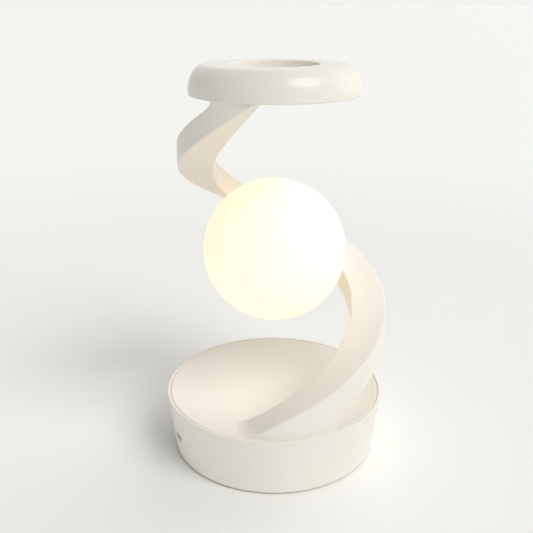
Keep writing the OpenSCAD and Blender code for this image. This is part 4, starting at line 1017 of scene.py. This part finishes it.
class MOONLAMP_OT_spiral_arm(bpy.types.Operator):
    """Sweeps the arm and its inner cover strip along the arm's rule"""
    bl_idname = "moonlamp.spiral_arm"
    bl_label = "Spiral arm"

    def execute(self, context):
        scene = context.scene
        arm = scene.moonlamp_arm
        v = lamp_rule(scene)
        white = satin_white(scene)
        tree = spiral_band_tree()
        margin = math.radians(0.3)
        notch_turn = v["notch_run"] / v["notch_radius"] + margin
        shared = {
            "Start Height": v["start_height"], "Rise": v["rise"], "Bow": arm.bow, "Foot Width": arm.width_foot,
            "Middle Width": arm.width_mid, "Top Width": arm.width_top, "Foot Thickness": arm.thick_foot,
            "Top Thickness": arm.thick_top, "Belly Radius": v["belly"], "Draw Rate": v["draw_rate"],
            "Swell": arm.swell, "Swell Turn": arm.swell_turn,
            "Foot In": v["foot_in"], "Foot Outer": v["foot_outer"], "Foot Inner": v["foot_inner"], "Seat": v["seat"],
            "Foot Rim": v["foot_rim"], "Climb Rate": v["climb_rate"], "Toe Tilt": arm.toe_tilt,
            "Tilt Turn": arm.tilt_turn, "Flare Height": arm.flare_height, "Flare Width": arm.flare_width,
            "Ring Height": scene.moonlamp_ring.under + RING_BITE, "Edge": arm.edge, "Dish Middle": v["dish_mid"],
            "Bowl Radius": v["bowl"], "Toe": arm.toe, "Notch": arm.notch,
            "Notch Radius": v["notch_radius"], "Notch Run": v["notch_run"], "Notch Middle": v["notch_mid"],
            "Ring Fillet": arm.ring_fillet, "Channel Wall": arm.wall, "Channel Height": arm.channel,
            "Top Roof": arm.roof, "Start": arm.start, "Turn": arm.turn, "Draw From": arm.draw_from,
            "Draw Softness": arm.draw_soft, "Foot Turn": arm.foot_turn, "Foot Blend": arm.foot_blend,
            "Meet Turn": v["meet_turn"], "Notch Turn": notch_turn, "Roof From": arm.roof_from,
            "Fillet Turn": arm.ring_fillet_turn, "Notch Rows": 16, "Material": white}

        quarter = math.pi / 2
        arc = [quarter * k / 6 for k in range(7)]
        bar = [(across, down, 0, GROOVE) for across, down in ((0, 0), (1, 0), (1, 1), (0, 1))]
        section = [(0, 0, a, OUTLINE) for a in arc]
        section += [(k / 10, 0, quarter, OUTLINE) for k in range(1, 10)]
        section += [(1, 0, quarter + a, OUTLINE) for a in arc]
        section += bar + [(1, 1, 0, BROW)]
        section += [(1, 1, 2 * quarter + a, OUTLINE) for a in arc]
        section += [(across, 1, 3 * quarter, OUTLINE) for across in (0.94, 0.06)]
        section += [(0, 1, 3 * quarter + a, OUTLINE) for a in arc]
        section += [(0, 1, a, FLARE) for a in reversed(arc)]
        section += [(0, 1, rise, BROW) for rise in (0, 0.15, 1)]
        band = grow(self.section_piece("arm_band", section), tree, {
            **shared, "First": -v["toe_turn"], "Foot Start": 0.0, "Last": arm.last, "Groove Depth": 0.0, "Seam": 0.0,
            "Toe Rows": 36, "Foot Rows": 64, "Arm Rows": 420})
        settle(band, "turntable", white, "white_plastic", "spiral_arm", "arm_toe")

        strip_start = math.radians(0.1)
        strip = grow(self.section_piece("arm_strip", bar), tree, {
            **shared, "First": strip_start, "Foot Start": strip_start, "Last": arm.last - margin,
            "Groove Depth": arm.strip, "Seam": arm.seam, "Toe Rows": 1, "Foot Rows": 60, "Arm Rows": 410})
        settle(strip, "turntable", white, "white_plastic", "arm_cover_strip")
        return {"FINISHED"}

    def section_piece(self, name, section):
        """The section as loose points that the tree reads."""
        mesh = bpy.data.meshes.new(name)
        mesh.from_pydata([p[:3] for p in section], [], [])
        kind = mesh.attributes.new("kind", "FLOAT", "POINT")
        kind.data.foreach_set("value", [p[3] for p in section])
        piece = bpy.data.objects.new(name, mesh)
        bpy.context.scene.collection.objects.link(piece)
        return piece


class MOONLAMP_OT_globe(bpy.types.Operator):
    """Makes the lit opal globe with its neck opening"""
    bl_idname = "moonlamp.globe"
    bl_label = "Globe"

    def execute(self, context):
        scene = context.scene
        g = scene.moonlamp_globe
        turn = scene.moonlamp_arm.start + lamp_rule(scene)["globe_turn"]
        direction = Vector((math.cos(turn), math.sin(turn), 0))
        outline = []
        for radius, way in ((g.radius, 1), (g.radius - g.wall, -1)):
            first = math.asin(g.neck / radius)
            angles = [first + (math.pi - first) * k / 96 for k in range(97)]
            arc = [(radius * math.sin(a), radius * math.cos(a)) for a in angles]
            arc[-1] = (0, -radius)
            outline += arc if way > 0 else arc[::-1]
        globe = turned("opal_globe", outline, 192)
        globe.data.transform(Matrix.Translation((0, 0, g.height)) @ Matrix.Rotation(turn, 4, "Z")
                             @ Matrix.Rotation(math.pi / 2, 4, "Y"))
        settle(globe, "turntable", opal_glow(scene, direction), "opal", "globe")
        return {"FINISHED"}


class MOONLAMP_OT_top_ring(bpy.types.Operator):
    """Makes the ring-shaped cap with its rounded crown"""
    bl_idname = "moonlamp.top_ring"
    bl_label = "Top ring"

    def execute(self, context):
        r = context.scene.moonlamp_ring
        w, e, h = r.wall, r.low_edge, r.hole_edge
        cr, cz = r.radius - r.crown_width, r.top - r.crown_height
        flat_from = 0.0006  # points this far past the roundings keep the top's shading flat
        quarter = [math.pi / 2 * k / 40 for k in range(41)]
        outline = [(r.radius - w, r.under)]
        outline += [(r.radius - e + e * math.sin(a), r.under + e - e * math.cos(a)) for a in quarter[::5]]
        outline.append((r.radius, (r.under + e + cz) / 2))
        outline += [(cr + r.crown_width * math.cos(a), cz + r.crown_height * math.sin(a)) for a in quarter]
        outline += [(cr - flat_from, r.top), (r.hole + h + flat_from, r.top)]
        outline += [(r.hole + h - h * math.sin(a), r.top - h + h * math.cos(a)) for a in quarter[::4]]
        outline += [(r.hole, r.top - h * 1.2), (r.hole, r.under + e * 1.2)]
        outline += [(r.hole + e - e * math.cos(a), r.under + e - e * math.sin(a)) for a in quarter[::5]]
        outline += [(r.hole + w, r.under), (r.hole + w, r.top - w)]
        outline += [(cr + (r.crown_width - w) * math.cos(a), cz + (r.crown_height - w) * math.sin(a))
                    for a in quarter[::-4]]
        ring = turned("ring_cap", outline, 256)
        settle(ring, "turntable", gloss_white(context.scene), "white_plastic", "ring_shell")
        return {"FINISHED"}


class MOONLAMP_OT_feet_and_screws(bpy.types.Operator):
    """Sets the rubber feet and the screws that show from below"""
    bl_idname = "moonlamp.feet_and_screws"
    bl_label = "Feet and screws"

    def execute(self, context):
        scene = context.scene
        tree = copies_tree()
        low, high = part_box("rubber_feet")
        hollow = low.z + 0.0003
        foot = turned("feet", rounded([
            (0, high.z, 0), (PAD_RADIUS, high.z, 0.0001), (PAD_RADIUS, low.z, 0.0005),
            (PAD_RADIUS * 0.62, low.z, 0.0002), (PAD_RADIUS * 0.55, hollow, 0.0001), (0, hollow, 0)]),
            48, closed=False)
        grow(foot, tree, {"Count": 4, "Radius": high.x - PAD_RADIUS, "First Turn": 0.0, "Material": rubber(scene)})
        settle(foot, "base", rubber(scene), "foot_rubber", "rubber_feet")

        low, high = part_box("cover_screws")
        screws = self.screws(scene, tree, "cover_screw_set", low.z, high.z,
                             (high.x - SCREW_HEAD) * math.sqrt(2), math.pi / 4)
        settle(screws, "base", steel(scene), "steel", "cover_screws")
        low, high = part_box("ring_screws")
        ring = scene.moonlamp_ring
        screws = self.screws(scene, tree, "ring_screw_set", low.z, high.z,
                             ring.radius - ring.wall - RING_SCREW_IN, math.radians(-30))
        settle(screws, "turntable", steel(scene), "steel", "ring_screws")
        return {"FINISHED"}

    def screws(self, scene, tree, name, low, high, spread, first):
        """Four screws with domed cross heads that face down."""
        shank, thick, dome, tip = 0.0013, 0.0013, 0.0005, 0.0008
        slot = Matrix.Diagonal((0.0026, 0.0006, 0.0016, 1))  # length, width and twice the depth
        screw = turned(name, rounded([
            (0, low, 0), (SCREW_HEAD * 0.7, low, 0.0003), (SCREW_HEAD, low + dome, 0.0003),
            (SCREW_HEAD, low + thick, 0.0001), (shank, low + thick, 0), (shank, high - tip, 0), (0, high, 0)], 4),
            40, closed=False)
        bm = bmesh.new()
        for turn in (0, math.pi / 2):
            bmesh.ops.create_cube(bm, size=1, matrix=Matrix.Translation((0, 0, low))
                                  @ Matrix.Rotation(turn, 4, "Z") @ slot)
        cut(screw, piece_from(bm, "recess"), crossing=True)
        return grow(screw, tree, {"Count": 4, "Radius": spread, "First Turn": first, "Material": steel(scene)})


class MOONLAMP_OT_works(bpy.types.Operator):
    """Gives the socket, the covers and the parts inside their finishes"""
    bl_idname = "moonlamp.works"
    bl_label = "Socket and inside"

    def execute(self, context):
        scene = context.scene
        finishes = {
            "white_plastic": satin_white(scene),
            "inner_plastic": inner_plastic(scene),
            "opal": satin_white(scene),
            "foot_rubber": rubber(scene),
            "steel": steel(scene),
            "dark_plastic": dark_plastic(scene),
            "iron": metal("cast ballast", (0.09, 0.092, 0.1), (0.06, 0.06, 0.064), (0.55, 0.8), 300, (0.4, 0.0002)),
            "light_metal": metal("turned light metal", (0.72, 0.73, 0.75), (0.6, 0.61, 0.63), (0.25, 0.4), 1400),
            "brass": metal("plain brass", (0.68, 0.45, 0.16), (0.52, 0.33, 0.11), (0.22, 0.38)),
            "board_green": moulded("green board", (0.01, 0.1, 0.035), (0.014, 0.14, 0.05), (0.3, 0.45), 1200, 220),
            "board_white": moulded("white board", (0.82, 0.82, 0.8), (0.76, 0.76, 0.74), (0.35, 0.5), 1200, 220),
            "gear_plastic": moulded("natural gear plastic", (0.74, 0.7, 0.58), (0.7, 0.655, 0.53), (0.4, 0.55)),
            "chip": moulded("phosphor chip", (0.85, 0.62, 0.12), (0.8, 0.56, 0.09), (0.45, 0.6), 3000, 900),
            "wire": moulded("red wire", (0.36, 0.02, 0.016), (0.3, 0.015, 0.012), (0.35, 0.5), 1800, 120),
        }
        # The socket's shell and tongue and the indicator's light pipe get light colours as painted light, to lift the
        # shade in their recesses in the drum's wall
        painted_light_finishes = {
            "charge_indicator": moulded(
                "milky light pipe", (0.76, 0.74, 0.69), (0.7, 0.68, 0.63), (0.3, 0.4), 1800, 300),
            "usb_socket": moulded(
                "tinned socket shell", (0.88, 0.87, 0.84), (0.84, 0.83, 0.8), (0.4, 0.5), 1800, 300),
            "usb_tongue": moulded(
                "grey socket tongue", (0.8, 0.79, 0.77), (0.75, 0.74, 0.72), (0.4, 0.5), 1800, 300),
        }
        for row in frame["record"]["subparts"]:
            node = frame["nodes"][row["node"]]
            node.data.materials.clear()
            node.data.materials.append(painted_light_finishes.get(row["node"], finishes[row["material_slot"]]))
        return {"FINISHED"}


class MOONLAMP_PT_panel(bpy.types.Panel):
    """Lists the steps that dress the lamp"""
    bl_idname = "MOONLAMP_PT_panel"
    bl_label = "Moon lamp"
    bl_space_type = "VIEW_3D"
    bl_region_type = "UI"
    bl_category = "Moon lamp"

    def draw(self, context):
        for step in STEPS:
            self.layout.operator(step.bl_idname)
        for name in GROUPS:
            settings = getattr(context.scene, name)
            box = self.layout.box()
            for key in settings.__annotations__:
                box.prop(settings, key)


STEPS = (MOONLAMP_OT_stage, MOONLAMP_OT_works, MOONLAMP_OT_base_drum, MOONLAMP_OT_turning_dish,
         MOONLAMP_OT_spiral_arm, MOONLAMP_OT_globe, MOONLAMP_OT_top_ring, MOONLAMP_OT_feet_and_screws)
GROUPS = {
    "moonlamp_drum": MOONLAMP_PG_drum,
    "moonlamp_arm": MOONLAMP_PG_arm,
    "moonlamp_globe": MOONLAMP_PG_globe,
    "moonlamp_ring": MOONLAMP_PG_ring,
    "moonlamp_finish": MOONLAMP_PG_finish,
    "moonlamp_stage": MOONLAMP_PG_stage,
}


def register():
    for group in GROUPS.values():
        bpy.utils.register_class(group)
    for name, group in GROUPS.items():
        setattr(bpy.types.Scene, name, bpy.props.PointerProperty(type=group))
    for step in STEPS:
        bpy.utils.register_class(step)
    bpy.utils.register_class(MOONLAMP_PT_panel)


def unregister():
    bpy.utils.unregister_class(MOONLAMP_PT_panel)
    for step in reversed(STEPS):
        bpy.utils.unregister_class(step)
    for name in GROUPS:
        delattr(bpy.types.Scene, name)
    for group in reversed(GROUPS.values()):
        bpy.utils.unregister_class(group)


def main():
    register()
    bpy.ops.moonlamp.stage()
    bpy.ops.moonlamp.works()
    bpy.ops.moonlamp.base_drum()
    bpy.ops.moonlamp.turning_dish()
    bpy.ops.moonlamp.spiral_arm()
    bpy.ops.moonlamp.globe()
    bpy.ops.moonlamp.top_ring()
    bpy.ops.moonlamp.feet_and_screws()


if __name__ == "__main__":
    main()
